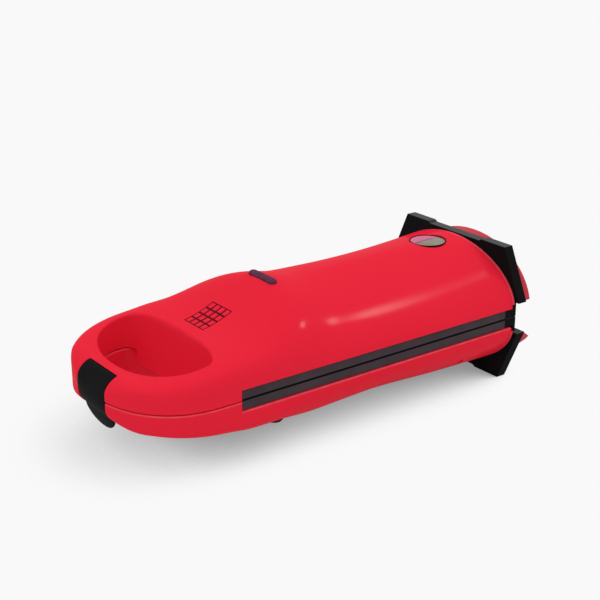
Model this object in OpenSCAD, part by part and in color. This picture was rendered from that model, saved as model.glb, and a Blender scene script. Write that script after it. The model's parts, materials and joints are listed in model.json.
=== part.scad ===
// Two-slice waffle iron with a hinged lid, a through handle and a front clip.
// The lid and the base are near mirror images about the seam plane.
// Working frame: y = 0 at the front end of the plate frames, z = 0 at the seam,
// +X the right side seen from behind. Every sub-part is then lifted onto its feet.

/* [Shells] */
// Half width of both shells at the seam
shell_hw = 61.7; // [61:0.1:70]
// Wall thickness of the moulded shells
wall = 2.4; // [1.8:0.1:3]
// Distance from the plate frames forward to where the nose starts to round
nose_start = 12; // [10:0.5:16]
// Length of the rounded nose seen from above
nose_len = 53.3; // [50:0.1:58]
// Squareness of the nose seen from above, 2 is an ellipse
nose_sq = 2.35; // [2:0.05:3]
// Length of the nose that rounds down in side view
nose_drop = 15.3; // [14:0.1:18]
// Squareness of that drop in side view
drop_sq = 2.2; // [2:0.05:2.6]
// Gap between the lid and the base at the seam
seam_gap = 0.3; // [0.3:0.05:0.8]

/* [Crown heights above the seam] */
// Crown height where the nose starts to drop
crown_nose = 15.1; // [14:0.1:18]
// Crown height in the middle of the handle
crown_grip = 19.8; // [18:0.1:22]
// Crown height behind the finger hole
crown_scoop = 24.3; // [22:0.1:27]
// Crown height at the foot of the ramp
crown_foot = 29.4; // [27:0.1:33]
// Crown height on the ramp
crown_ramp = 39.7; // [36:0.1:42]
// Crown height at the hump that carries the pad
crown_hump = 45.6; // [43:0.1:47]
// Crown height in the waist behind the hump
crown_waist = 42.2; // [40:0.1:44]
// Crown height in the middle of the body
crown_mid = 41.9; // [40:0.1:44]
// Crown height at the rear wing
crown_rear = 44; // [42:0.1:45]
// Distance of the hump behind the front end of the plate frames
hump_y = 57; // [52:0.5:62]
// Height of the base's underside at the grip
belly_grip = 18.7; // [17:0.1:20]
// Height of the base's underside behind the finger hole
belly_scoop = 23.2; // [22:0.1:25]
// Height of the base's underside at the foot of its rise
belly_foot = 27.9; // [26:0.1:30]
// Height of the base's underside on its rise
belly_ramp = 34.1; // [32:0.1:37]
// Height of the base's underside behind the front foot
belly_waist = 39.8; // [38:0.1:42]

/* [Section squareness] */
// Squareness of the cross section in the handle
sq_handle = 8.3; // [6:0.1:9]
// Squareness at the foot of the ramp
sq_foot = 3.6; // [3:0.1:4.5]
// Squareness at the hump
sq_hump = 2.06; // [1.9:0.02:2.4]
// Squareness in the middle of the body
sq_mid = 1.7; // [1.6:0.02:2]
// Squareness at the rear wing
sq_rear = 1.9; // [1.7:0.02:2.2]

/* [Finger hole] */
// Distance of the hole's widest line ahead of the plate frames
hole_y = 17.3; // [15:0.1:20]
// Half width of the hole at the seam
hole_hw = 47.3; // [44:0.1:48]
// Reach of the hole forward of its widest line, at the seam
hole_front = 30.8; // [28:0.1:32]
// Reach of the hole behind its widest line, at the seam
hole_back = 8.3; // [7:0.1:10]
// How much further back the sloping scoop wall reaches at the crown
scoop_run = 6.7; // [5:0.1:8]

// How far the lid's scoop wall reaches down in front of the base's
apron_drop = 8; // [5:0.1:9]
// Thickness of that apron
apron_t = 2; // [1.6:0.1:2.4]
// Clearance behind the apron
apron_gap = 1.4; // [1.2:0.1:2]

/* [Plate frames] */
// Half width of the plate frames
frame_hw = 60; // [58:0.1:60.5]
// Length of the plate frames
band_len = 210.5; // [206:0.5:220]
// Height of each frame's visible band
band_h = 6.1; // [5:0.1:8]
// Thickness of the frame's ring from outside to the plate's flange
frame_ring = 3.2; // [2.6:0.1:4]
// Clearance between the frames and what they sit beside
frame_gap = 0.3; // [0.2:0.05:0.5]

/* [Waffle plates] */
// Width of one waffle mould at its mouth
mould_w = 88; // [80:1:90]
// Length of one waffle mould at its mouth
mould_l = 92; // [84:1:93]
// Depth of the mould's grooves below the seam
mould_depth = 12.5; // [10:0.5:14]
// Depth of the pegs' flat tops below the seam
peg_depth = 5.6; // [5.2:0.1:7]
// Number of pegs along each side of a mould
peg_count = 5; // [4:1:7]
// Width of a groove at the pegs' tops
groove_top = 8.6; // [7:0.1:10]
// Width of a groove at its floor
groove_floor = 5; // [3:0.1:6]
// Inward slope of the mould's walls over their full depth
mould_draft = 3; // [2:0.1:4]
// Thickness of the cast floor behind the moulds
plate_floor = 3; // [2.4:0.1:4]
// Thickness of the plate's flange
flange_t = 2.4; // [2:0.1:3]
// Rib between the two moulds
mould_rib = 5; // [4:0.5:7]

/* [Heating parts] */
// Radius of the sheathed heating element
heater_r = 3.2; // [2.5:0.1:4]
// Half distance between the element's two legs
heater_leg = 26; // [20:1:32]
// Thickness of the reflector sheet
tray_t = 0.8; // [0.6:0.1:1.2]
// Half width of the reflector tray
tray_hw = 42; // [38:0.5:43]
// Room between the heating element and the reflector
tray_room = 1.2; // [1:0.1:3]

/* [Rear wings and hinge] */
// Length of the black posts between the plate frames and the wings
post_len = 7.7; // [7:0.1:9]
// Thickness of the rear wings
wing_t = 7.1; // [6:0.1:9]
// Half width of a wing at its widest edge
wing_hw = 64.4; // [62:0.1:68]
// Half width of a wing over its two feet
wing_foot_hw = 48.5; // [45:0.1:54]
// Distance of the widest edge from the seam
wing_edge = 10.7; // [9.5:0.1:12]
// Height of the lid's wing above the seam
lid_wing_h = 45.9; // [45:0.1:50]
// Height of the base's wing below the seam, which sets the ride height
base_wing_h = 47.8; // [47:0.1:52]
// How far the base's wing and front foot stand below its shell
foot_proud = 9.4; // [7:0.1:12]
// Length of the front foot, from left to right
foot_l = 34; // [26:0.5:44]
// Width of the front foot
foot_w = 11; // [8:0.5:14]
// Length of each foot along the wing's edge
wing_foot_l = 22; // [18:0.5:26]
// Depth of the recess between the two feet
wing_recess = 1.3; // [0.8:0.1:2]
// Distance of the hinge axis behind the wings' front faces
hinge_back = 9.8; // [9.2:0.1:11]
// Radius of the hinge knuckles
knuckle_r = 6; // [5.5:0.1:6.2]
// Radius of the hinge pins
hinge_pin_r = 2; // [1.5:0.1:2.5]
// Running clearance round pins that turn
run_gap = 0.05; // [0.03:0.01:0.08]
// Half distance between the two hinges
hinge_x = 36; // [30:0.5:37]
// Width of the lid's knuckle
knuckle_w = 7; // [5:0.5:8]
// Width of each base knuckle beside it
ear_w = 4; // [3:0.5:4.5]
// Side play between knuckles
side_gap = 0.3; // [0.2:0.05:0.5]

/* [Rear covers] */
// Half width of the lid's rear cover
lid_cap_hw = 57.2; // [55:0.1:60]
// Half width of the base's rear cover
base_cap_hw = 62.5; // [58:0.1:64]
// Height of both rear covers from the seam
cap_h = 43.3; // [42:0.1:45]
// Squareness of the covers' arched outline
cap_sq = 2; // [1.8:0.01:2.6]
// Squareness of the covers in plan, which rounds their backs
cap_dome = 12; // [4.5:0.1:16]
// Depth of the lid's rear cover
lid_cap_d = 14.8; // [11:0.1:16]
// Depth of the base's rear cover
base_cap_d = 19.2; // [14:0.1:22]
// Fall of the base cover's top, as a share of its depth
cap_slope = 0.65; // [0.5:0.05:0.9]
// Distance of the lid cover's lower edge from the seam
lid_cap_edge = 7.5; // [7:0.1:9]
// Radius of the hole through the cord gland
gland_bore_r = 3.4; // [3:0.1:4]
// Outer radius of the cord gland
gland_r = 6; // [5.4:0.1:7]
// Depth of the cord gland below the seam
gland_z = 31; // [28:0.5:33]

/* [Front clip] */
// Half width of the front clip
clip_hw = 16; // [14:0.5:18]
// Thickness of the clip
clip_t = 2.3; // [1.8:0.1:2.6]
// Height of the clip's pivot above the seam
clip_pivot_z = 10.6; // [10:0.1:11.5]
// Distance of the clip's pivot behind the tip of the nose
clip_pivot_in = 8.7; // [8.2:0.1:9.2]
// Radius of the clip's pivot barrel
clip_barrel_r = 3.6; // [3.2:0.1:3.8]
// Radius of the clip's pin
clip_pin_r = 1.5; // [1:0.1:1.8]
// Clearance between the clip and the window it lies in
clip_gap = 0.45; // [0.3:0.05:0.8]
// Depth of the fold where the thumb lip starts, below the seam
lip_fold = 11.6; // [11:0.1:12.5]
// Length that the thumb lip hangs below the fold
lip_len = 10.4; // [8:0.1:12]
// How far the thumb lip leans back over that length
lip_lean = 3.4; // [2:0.1:4]

/* [Pads and window] */
// Length of the pad and of the front foot across the hump
pad_l = 26; // [20:0.5:32]
// Width of the pad and of the front foot
pad_w = 6; // [5:0.1:8]
// Height of the lid's pad above the hump
pad_proud = 1.4; // [1:0.1:2]
// Distance of the round window behind the front end of the plate frames
lens_y = 193.9; // [188:0.1:196]
// Radius of the round window's rim
lens_r = 12.6; // [11:0.1:13.5]
// Width of the window's dark rim
bezel_w = 0.7; // [0.5:0.1:1.2]
// Gap between the two halves of the window
lens_split = 0.8; // [0.6:0.05:1.2]
// Radius of the windows' gentle dome
lens_dome = 70; // [50:1:120]

/* [Fasteners] */
// Radius of the shell screws' shanks
screw_r = 1.5; // [1.2:0.1:1.8]
// Radius of the screws' heads
screw_head_r = 2.9; // [2.6:0.1:3.1]
// Height of the screws' heads
screw_head_h = 1.8; // [1.4:0.1:2.2]
// Clearance round screws
screw_gap = 0.15; // [0.1:0.05:0.3]

/* [Hidden] */
$fn = 48;

red = [0.86, 0.12, 0.2];
black = [0.09, 0.09, 0.09];
grey = [0.25, 0.22, 0.24];
steel = [0.75, 0.75, 0.76];

// Lengths that follow from the driving dimensions
shell_end = band_len + post_len;
wing_rear = shell_end + wing_t;
hinge_y = shell_end + hinge_back;
tip_y = -nose_start - nose_len;
nose_y = tip_y + nose_drop;
rear_y = wing_rear + base_cap_d;
gland_lip = 1.2;
clip_proud = 0.3;
mid_y = (tip_y - clip_proud + rear_y + gland_lip) / 2;
hole_edge_y = -hole_y + hole_back + scoop_run;
half_gap = seam_gap / 2;
base_hump = base_wing_h - foot_proud;
far = 400;

// Steps of the lofts: round the section, round the nose and along the body
arc_steps = 32;
nose_steps = 11;
body_steps = 36;
core_arc_steps = 14;
core_nose_steps = 5;
core_body_steps = 16;
skirt = 2;

// Crown lines in side view: the lid's with its hump, the base's rising evenly to the belly
lid_line = [
    [nose_y, crown_nose],
    [(nose_y + hole_edge_y) / 2 - 2, crown_grip],
    [hole_edge_y, crown_scoop],
    [hump_y - 38.5, crown_foot],
    [hump_y - 17, crown_ramp],
    [hump_y, crown_hump],
    [hump_y + 19, crown_waist],
    [(hump_y + shell_end) / 2, crown_mid],
    [shell_end, crown_rear]
];
base_line = [
    [nose_y, crown_nose],
    [(nose_y + hole_edge_y) / 2 - 2, belly_grip],
    [hole_edge_y, belly_scoop],
    [hump_y - 38.5, belly_foot],
    [hump_y - 17, belly_ramp],
    [hump_y, base_hump],
    [hump_y + 19, belly_waist],
    [(hump_y + shell_end) / 2, crown_mid],
    [shell_end, crown_rear]
];
// Squareness of the section along the body
squareness_line = [
    [nose_y, sq_handle],
    [hole_edge_y, sq_handle - 2.3],
    [hump_y - 37, sq_foot],
    [hump_y, sq_hump],
    [hump_y + 53, sq_mid],
    [shell_end, sq_rear]
];

// Slope of a smooth line at point i, from its neighbours
function slope(p, i) =
    let (a = max(i - 1, 0), b = min(i + 1, len(p) - 1))
    (p[b][1] - p[a][1]) / (p[b][0] - p[a][0]);

// Cubic between points i and i + 1
function cubic(p, i, x) =
    let (
        w = p[i + 1][0] - p[i][0],
        t = (x - p[i][0]) / w,
        m0 = slope(p, i) * w,
        m1 = slope(p, i + 1) * w
    )
    (2 * t * t * t - 3 * t * t + 1) * p[i][1] + (t * t * t - 2 * t * t + t) * m0
    + (3 * t * t - 2 * t * t * t) * p[i + 1][1] + (t * t * t - t * t) * m1;

function smooth_line(p, x, i = 0) =
    x <= p[0][0] ? p[0][1]
    : x >= p[len(p) - 1][0] ? p[len(p) - 1][1]
    : x <= p[i + 1][0] ? cubic(p, i, x)
    : smooth_line(p, x, i + 1);

// Height of the crown over the seam
function crown(y, line = lid_line) =
    y >= nose_y ? smooth_line(line, y)
    : crown_nose * pow(max(0, 1 - pow((nose_y - y) / nose_drop, drop_sq)), 1 / drop_sq);

// Half width of a shell, or of its core when inset
function plan_w(y, inset) =
    y >= -nose_start ? shell_hw - inset
    : (shell_hw - inset)
        * pow(max(0, 1 - pow((-y - nose_start) / (nose_len - inset), nose_sq)), 1 / nose_sq);

// Height where the sides start to round: the seam in the handle, the band behind it
function side_z(y) =
    let (s = min(1, max(0, (y + 10) / 20)))
    band_h * s * s * (3 - 2 * s);

// Radius of a unit superellipse at angle a
function unit_r(n, a) = pow(pow(abs(cos(a)), n) + pow(abs(sin(a)), n), -1 / n);

// Cross section: a domed top over straight sides, from +x over the top to -x
function section(y, w, side, h, n, low, steps) = concat(
    [[w, y, low]],
    [for (k = [0:steps])
        let (a = 180 * k / steps, r = unit_r(n, a))
        [w * r * cos(a), y, side + (h - side) * r * sin(a)]],
    [[-w, y, low]]
);

// Stations along a shell: close together in the nose, even along the body
function stations(inset, nose_n, body_n, end) = concat(
    [for (k = [0:nose_n - 1])
        -nose_start - (nose_len - inset) * pow(cos(4 + 86 * k / nose_n), 2 / nose_sq)],
    [for (k = [0:body_n]) -nose_start + (nose_start + end) * k / body_n]
);

// Solid through a row of loops with the same number of points
module loft(loops) {
    m = len(loops[0]);
    n = len(loops);
    ones = [for (j = [1:m]) 1];
    points = concat(
        [for (loop = loops) each loop],
        [ones * loops[0] / m, ones * loops[n - 1] / m]
    );
    sides = [
        for (i = [0:n - 2], j = [0:m - 1])
            let (a = i * m + j, b = i * m + (j + 1) % m, c = b + m, d = a + m)
            each [[a, b, c], [a, c, d]]
    ];
    ends = [
        for (j = [0:m - 1])
            let (k = (j + 1) % m, e = (n - 1) * m)
            each [[k, j, n * m], [e + j, e + k, n * m + 1]]
    ];
    polyhedron(points, concat(sides, ends), convexity = 8);
}

// The shell's outer form, standing on the seam
module shell_form(line) {
    ys = stations(0, nose_steps, body_steps, shell_end);
    loft([for (y = ys)
        section(y, plan_w(y, 0), side_z(y), crown(y, line),
            lookup(y, squareness_line), -skirt, arc_steps)]);
}

// The same form drawn in by an inset and running out past the rear end
module core_form(inset, line) {
    ys = stations(inset, core_nose_steps, core_body_steps, shell_end + 3);
    loft([for (y = ys)
        section(y, plan_w(y, inset), side_z(y), crown(y, line) - inset,
            lookup(y, squareness_line), -skirt - 1, core_arc_steps)]);
}

// Outline of the finger hole, clockwise seen from above, widened by grow all round
// and by back at the seam on its rear side
function hole_loop(z, grow, back) =
    let (
        a = hole_hw + grow + 0.7 * abs(z) / crown_grip,
        f = hole_front + grow + 0.7 * abs(z) / crown_nose,
        b = hole_back + back + grow + (scoop_run - back) * abs(z) / crown_scoop
    )
    [for (k = [0:39])
        let (t = -9 * k, s = sin(t), q = s < 0 ? 2.2 : 2.7)
        [a * sign(cos(t)) * pow(abs(cos(t)), 2 / q),
            -hole_y + (s < 0 ? -f : b) * pow(abs(s), 2 / q), z]];

module hole_form(grow, back) {
    reach = crown_foot;
    loft([hole_loop(-reach, grow, back), hole_loop(0, grow, back), hole_loop(reach, grow, back)]);
}

// Capsule seen from above, with a chamfered top
module capsule(l, w, h, chamfer) {
    r = w / 2;
    for (s = [-1, 1]) {
        translate([s * (l / 2 - r), 0, 0]) {
            cylinder(r = r, h = h - chamfer);
            translate([0, 0, h - chamfer]) cylinder(r1 = r, r2 = r - chamfer, h = chamfer);
        }
    }
    if (chamfer > 0) {
        rotate([90, 0, 90])
            linear_extrude(height = l - w, center = true)
                polygon([[-r, 0], [r, 0], [r, h - chamfer], [r - chamfer, h], [chamfer - r, h],
                    [-r, h - chamfer]]);
    } else {
        translate([-l / 2 + r, -r, 0]) cube([l - w, w, h]);
    }
}

// Cylinder along X, centred
module rod_x(r, l) {
    rotate([0, 90, 0]) cylinder(r = r, h = l, center = true);
}

// Cylinder that starts here and runs towards +Y
module rod_y(r, l) {
    rotate([-90, 0, 0]) cylinder(r = r, h = l);
}

// Screw with its head below and its shank running up from the seat at z = 0
module screw(l) {
    difference() {
        union() {
            cylinder(r = screw_r, h = l);
            translate([0, 0, -screw_head_h]) cylinder(r = screw_head_r, h = screw_head_h);
        }
        for (a = [0, 90]) {
            rotate([0, 0, a])
                translate([-screw_head_r * 0.6, -0.4, -screw_head_h - 1])
                    cube([screw_head_r * 1.2, 0.8, 2]);
        }
    }
}

// Where the screws between shell and frame stand
boss_x = frame_hw - 9;
boss_ys = [31, band_len - 32];
boss_r = 3.8;
frame_top = band_h + 4.4;
upstand_hw = shell_hw - wall - 1.7;
boss_base = frame_top + 2;

module at_bosses() {
    for (x = [-boss_x, boss_x], y = boss_ys) {
        translate([x, y, 0]) children();
    }
}

// Where the rear screws run along Y, their bosses against the shells' roof
rear_boss_x = 26;
rear_roof_z = band_h + (crown_rear - band_h)
    * pow(1 - pow(rear_boss_x / shell_hw, sq_rear), 1 / sq_rear);
rear_boss_z = rear_roof_z - wall - boss_r + 0.1;
rear_boss_l = 14;

module at_rear_bosses() {
    for (x = [-rear_boss_x, rear_boss_x]) {
        translate([x, shell_end, rear_boss_z]) children();
    }
}

// Window in the nose that the front clip lies in, from z = low up to the pivot
clip_pivot_y = tip_y + clip_pivot_in;
clip_window_hw = clip_hw + clip_gap;
clip_pin_l = 2 * (clip_window_hw + 3.4);
catch_face_y = clip_pivot_y + 0.6;

// Shell of the lid or, mirrored, of the base, with its hollow and its rims
module half_shell(back, line) {
    difference() {
        shell_form(line);
        difference() {
            core_form(wall, line);
            hole_form(wall, back);
        }
        hole_form(0, back);
        translate([-far / 2, -far / 2, -far / 2]) cube([far, far, far / 2 + half_gap]);
        translate([-far / 2, 0, -far / 2]) cube([far, far, far / 2 + band_h]);
    }
    intersection() {
        union() {
            at_bosses() translate([0, 0, boss_base]) cylinder(r = boss_r, h = far / 8);
            at_rear_bosses() rotate([180, 0, 0]) rod_y(boss_r, rear_boss_l);
        }
        core_form(wall / 2, line);
    }
}

// Bores for the rear screws
module rear_screw_bores() {
    at_rear_bosses() translate([0, -rear_boss_l - 1, 0]) rod_y(screw_r, rear_boss_l + 2);
}

// Apron: the lid's scoop wall carried on below the seam, in front of the base's wall
apron_x = hole_hw - 8;
apron_front_y = -hole_y + hole_back - 7;

module apron() {
    intersection() {
        difference() {
            loft([apron_loop(-apron_drop, apron_t), apron_loop(half_gap + 2, apron_t)]);
            loft([apron_loop(-apron_drop - 1, 0), apron_loop(half_gap + 3, 0)]);
        }
        translate([-apron_x, apron_front_y, -apron_drop])
            cube([2 * apron_x, far / 8, apron_drop + half_gap + 1]);
    }
}

// The scoop's outline with its slope carried on below the seam
function apron_loop(z, grow) =
    [for (p = hole_loop(0, grow, 0)) [p[0], p[1] + (p[1] > -hole_y ? scoop_run * z / crown_scoop : 0), z]];

module lid_shell_body() {
    color(red)
    difference() {
        union() {
            half_shell(0, lid_line);
            apron();
            intersection() {
                for (s = [-1, 1]) {
                    translate([s * (clip_window_hw + 1.8), clip_pivot_y, clip_pivot_z])
                        rod_x(clip_barrel_r, 3.6);
                }
                core_form(wall / 2, lid_line);
            }
        }
        at_bosses() translate([0, 0, boss_base - 1]) cylinder(r = screw_r, h = 9);
        rear_screw_bores();
        // Window for the clip and its pivot
        translate([-clip_window_hw, tip_y - 5, -1])
            cube([2 * clip_window_hw, clip_pivot_in + 5 + clip_barrel_r + clip_gap, clip_pivot_z + 1]);
        translate([-clip_window_hw, tip_y - 5, clip_pivot_z - 1])
            cube([2 * clip_window_hw, clip_pivot_in + 5, crown_nose]);
        translate([0, clip_pivot_y, clip_pivot_z])
            rod_x(clip_barrel_r + clip_gap, 2 * clip_window_hw);
        translate([0, clip_pivot_y, clip_pivot_z]) rod_x(clip_pin_r, clip_pin_l);
        // Round window and pad
        translate([0, lens_y, crown_mid / 2]) cylinder(r = lens_r, h = far);
        translate([0, hump_y, crown_hump - wall / 2]) capsule(pad_l, pad_w, 10, 0);
    }
}

module base_shell_body() {
    color(red)
    mirror([0, 0, 1])
    difference() {
        union() {
            half_shell(apron_t + apron_gap, base_line);
            intersection() {
                translate([0, catch_seat_y, catch_floor]) cylinder(r = 5, h = far / 8);
                core_form(wall / 2, base_line);
            }
        }
        at_bosses() {
            translate([0, 0, boss_base - 1]) cylinder(r = screw_r + screw_gap, h = far / 8);
            translate([0, 0, shell_screw_seat]) cylinder(r = screw_head_r + screw_gap, h = far / 8);
        }
        rear_screw_bores();
        // Window for the clip, and the screw that holds the catch
        translate([-clip_window_hw, tip_y - 5, -1])
            cube([2 * clip_window_hw, catch_face_y - tip_y + 5, far / 8]);
        translate([0, catch_seat_y, catch_floor - 1]) cylinder(r = screw_r + screw_gap, h = far / 8);
        translate([0, catch_seat_y, catch_floor + 1.6])
            cylinder(r = screw_head_r + screw_gap, h = far / 8);
        translate([0, hump_y, base_hump - wall / 2]) capsule(foot_l, foot_w, 10, 0);
    }
}

// Frame that closes a shell and carries its plate
plate_hw = frame_hw - frame_ring - frame_gap;
bowl_hw = mould_w / 2 + 2.5;
bowl_l = 2 * mould_l + mould_rib + 5;
bowl_y = (band_len - bowl_l) / 2;
bowl_h = mould_depth + plate_floor;
flange_z = half_gap + 0.1;

module at_plate_screws() {
    for (x = [-plate_screw_x, plate_screw_x], y = [14, band_len - 14]) {
        translate([x, y, flange_z]) children();
    }
}
plate_screw_x = (plate_hw + bowl_hw) / 2;
corner_spans = [
    [boss_ys[0] / 2, boss_ys[0] - boss_r - 2.2],
    [boss_ys[0] + 20, band_len / 2],
    [band_len / 2 + 10, boss_ys[1] - 16]
];

module frame_body() {
    difference() {
        union() {
            translate([-frame_hw, frame_gap, half_gap])
                cube([2 * frame_hw, band_len - frame_gap, band_h - half_gap]);
            translate([-upstand_hw, frame_gap + wall, band_h - 1])
                cube([2 * upstand_hw, band_len - frame_gap - wall - 1, frame_top - band_h + 1]);
        }
        // Seat of the plate's flange, and the opening that its bowl passes
        translate([-plate_hw - frame_gap, frame_ring, -1])
            cube([2 * (plate_hw + frame_gap), band_len - 2 * frame_ring, 1 + flange_z + flange_t]);
        translate([-bowl_hw - frame_gap, bowl_y - frame_gap, -1])
            cube([2 * (bowl_hw + frame_gap), bowl_l + 2 * frame_gap, far / 8]);
        // Cast-away corners before, between and behind the screw posts
        for (s = [-1, 1], span = corner_spans) {
            translate([s * (boss_x + 0.2) - 3.6, span[0], flange_z + flange_t + 2])
                cube([7.2, span[1] - span[0], far / 8]);
        }
        at_plate_screws() cylinder(r = screw_r - 0.3, h = 9);
        children();
    }
}

module base_frame_body() {
    color(grey)
    mirror([0, 0, 1])
    difference() {
        union() {
            frame_body();
            at_bosses()
                translate([0, 0, flange_z + flange_t])
                    cylinder(r = boss_r, h = boss_base - flange_z - flange_t);
        }
        at_bosses() translate([0, 0, flange_z + flange_t + 0.8]) cylinder(r = screw_r, h = far / 8);
    }
}

module lid_frame_body() {
    color(grey)
    difference() {
        union() {
            frame_body();
            at_bosses()
                translate([0, 0, flange_z + flange_t])
                    cylinder(r = boss_r, h = boss_base - flange_z - flange_t);
        }
        at_bosses() {
            translate([0, 0, -1]) cylinder(r = screw_r + screw_gap, h = far / 8);
            translate([0, 0, -1]) cylinder(r = screw_head_r + screw_gap, h = lid_screw_seat + 1);
        }
    }
}

// Frustum with sloping walls, its mouth at z = 0 and its floor at z = h
module frustum(w, l, h, draft) {
    intersection() {
        translate([0, l / 2, 0]) rotate([90, 0, 0])
            linear_extrude(height = l)
                polygon([[-w / 2, 0], [w / 2, 0], [w / 2 - draft, h], [draft - w / 2, h]]);
        translate([-w / 2, 0, 0]) rotate([90, 0, 90])
            linear_extrude(height = w)
                polygon([[-l / 2, 0], [l / 2, 0], [l / 2 - draft, h], [draft - l / 2, h]]);
    }
}

// Groove along X, centred, from the pegs' tops down to the mould's floor
module groove(l) {
    d = mould_depth - peg_depth;
    slant = (groove_top - groove_floor) / 2;
    over = 1;
    rotate([90, 0, 90])
        linear_extrude(height = l, center = true)
            polygon([
                [-groove_top / 2 - over * slant / d, peg_depth - over],
                [groove_top / 2 + over * slant / d, peg_depth - over],
                [groove_floor / 2, mould_depth],
                [-groove_floor / 2, mould_depth]
            ]);
}

// Space that one waffle fills above its pegs and in its grooves
module mould_space() {
    intersection() {
        frustum(mould_w, mould_l, mould_depth, mould_draft);
        union() {
            translate([-mould_w / 2 - 1, -mould_l / 2 - 1, -1])
                cube([mould_w + 2, mould_l + 2, peg_depth + 1]);
            for (k = [0:peg_count]) {
                edge = k == 0 ? 1 : k == peg_count ? -1 : 0;
                translate([0, (k / peg_count - 0.5) * mould_l + edge * mould_draft, 0])
                    groove(mould_w + 2);
                translate([(k / peg_count - 0.5) * mould_w + edge * mould_draft, 0, 0])
                    rotate([0, 0, 90]) groove(mould_l + 2);
            }
        }
    }
}

// Where the element lies on the plate's back
heater_z = bowl_h + heater_r;
heater_bend_y = bowl_y + 20 + heater_leg;
heater_end_y = bowl_y + bowl_l + 1.5;

// Posts behind the plate that the reflector is screwed to
tray_z = bowl_h + 2 * heater_r + tray_room;
post_ys = [heater_bend_y + 4, band_len / 2, bowl_y + bowl_l - 16];

module plate_body() {
    color(grey)
    difference() {
        union() {
            translate([-plate_hw, frame_ring + frame_gap, flange_z])
                cube([2 * plate_hw, band_len - 2 * (frame_ring + frame_gap), flange_t]);
            translate([-bowl_hw, bowl_y, flange_z]) cube([2 * bowl_hw, bowl_l, bowl_h - flange_z]);
            for (y = post_ys) {
                translate([0, y, bowl_h - 1]) cylinder(r = 3.5, h = tray_z - bowl_h + 1);
            }
        }
        for (k = [0, 1]) {
            translate([0, bowl_y + 2.5 + mould_l / 2 + k * (mould_l + mould_rib), flange_z - 0.01])
                mould_space();
        }
        for (y = post_ys) {
            translate([0, y, bowl_h + 1]) cylinder(r = screw_r, h = far / 8);
        }
        at_plate_screws() {
            translate([0, 0, -1]) cylinder(r = screw_r + screw_gap, h = 9);
            translate([0, 0, -1]) cylinder(r = screw_head_r + screw_gap, h = 1 + screw_head_h - 0.4);
        }
    }
}

// Sheathed element: two legs joined by a half turn at the front, ends standing out behind
module heater_body() {
    color(steel)
    translate([0, 0, heater_z]) {
        for (s = [-1, 1]) {
            translate([s * heater_leg, heater_bend_y, 0]) rod_y(heater_r, heater_end_y - heater_bend_y);
            translate([s * heater_leg, heater_end_y, 0]) rod_y(heater_r * 0.4, 4);
        }
        translate([0, heater_bend_y, 0])
            rotate([0, 0, 180])
                rotate_extrude(angle = 180)
                    translate([heater_leg, 0]) circle(r = heater_r);
    }
}

// Saddle clamps that hold the element down on the plate's back
clamp_ys = [heater_bend_y + 12, heater_end_y - 30];

module heater_clamps_body() {
    color(steel)
    for (s = [-1, 1], y = clamp_ys) {
        translate([s * heater_leg, y, bowl_h])
            rotate([90, 0, 0])
                linear_extrude(height = 8, center = true)
                    difference() {
                        union() {
                            translate([0, heater_r]) circle(r = heater_r + 1);
                            translate([-heater_r - 1, 0]) square([2 * heater_r + 2, heater_r]);
                            translate([-heater_r - 5, 0]) square([2 * heater_r + 10, 1]);
                        }
                        translate([0, heater_r]) circle(r = heater_r);
                        translate([-heater_r, -1]) square([2 * heater_r, heater_r + 1]);
                    }
    }
}

// Sheet-metal reflector behind the element
tray_y = bowl_y + 15;
tray_l = bowl_l - 21;

module reflector_body() {
    color(steel)
    difference() {
        translate([-tray_hw, tray_y, bowl_h]) cube([2 * tray_hw, tray_l, tray_z + tray_t - bowl_h]);
        translate([-tray_hw + tray_t, tray_y + tray_t, bowl_h - 1])
            cube([2 * (tray_hw - tray_t), tray_l - 2 * tray_t, tray_z - bowl_h + 1]);
        for (y = post_ys) {
            translate([0, y, 0]) cylinder(r = screw_r + screw_gap, h = far);
        }
        // Slots that the element's ends pass
        for (s = [-1, 1]) {
            translate([s * heater_leg - heater_r - 0.5, tray_y + tray_l - 3, bowl_h - 1])
                cube([2 * heater_r + 1, 5, 2 * heater_r + 1.6]);
        }
    }
}

module reflector_screws_body() {
    color(steel)
    for (y = post_ys) {
        translate([0, y, tray_z + tray_t]) mirror([0, 0, 1]) screw(7);
    }
}

module plate_screws_body() {
    color(steel)
    at_plate_screws() translate([0, 0, screw_head_h - 0.4]) resized_screw();
}

module resized_screw() {
    difference() {
        union() {
            cylinder(r = screw_r - 0.3, h = 7);
            translate([0, 0, -screw_head_h + 0.4]) cylinder(r = screw_head_r, h = screw_head_h - 0.4);
        }
        for (a = [0, 90]) {
            rotate([0, 0, a]) translate([-1.6, -0.35, -screw_head_h]) cube([3.2, 0.7, 1.4]);
        }
    }
}

// Screws between frame and shell: from inside on the lid, from underneath on the base
lid_screw_seat = flange_z + flange_t + screw_head_h + 0.3;
shell_screw_seat = boss_base + 7;

module lid_shell_screws_body() {
    color(steel)
    at_bosses() translate([0, 0, lid_screw_seat]) screw(boss_base + 7.5 - lid_screw_seat);
}

module base_shell_screws_body() {
    color(steel)
    mirror([0, 0, 1])
    at_bosses()
        translate([0, 0, shell_screw_seat])
            mirror([0, 0, 1])
                screw(shell_screw_seat - flange_z - flange_t - 1.2);
}

// Rear wing: a flat plate with two feet on its outer edge
function wing_outline(h) = [
    [-wing_hw, wing_edge],
    [wing_hw, wing_edge],
    [wing_foot_hw, h],
    [wing_foot_hw - wing_foot_l, h],
    [wing_foot_hw - wing_foot_l - 2, h - wing_recess],
    [-wing_foot_hw + wing_foot_l + 2, h - wing_recess],
    [-wing_foot_hw + wing_foot_l, h],
    [-wing_foot_hw, h]
];

post_x = 46;

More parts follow.
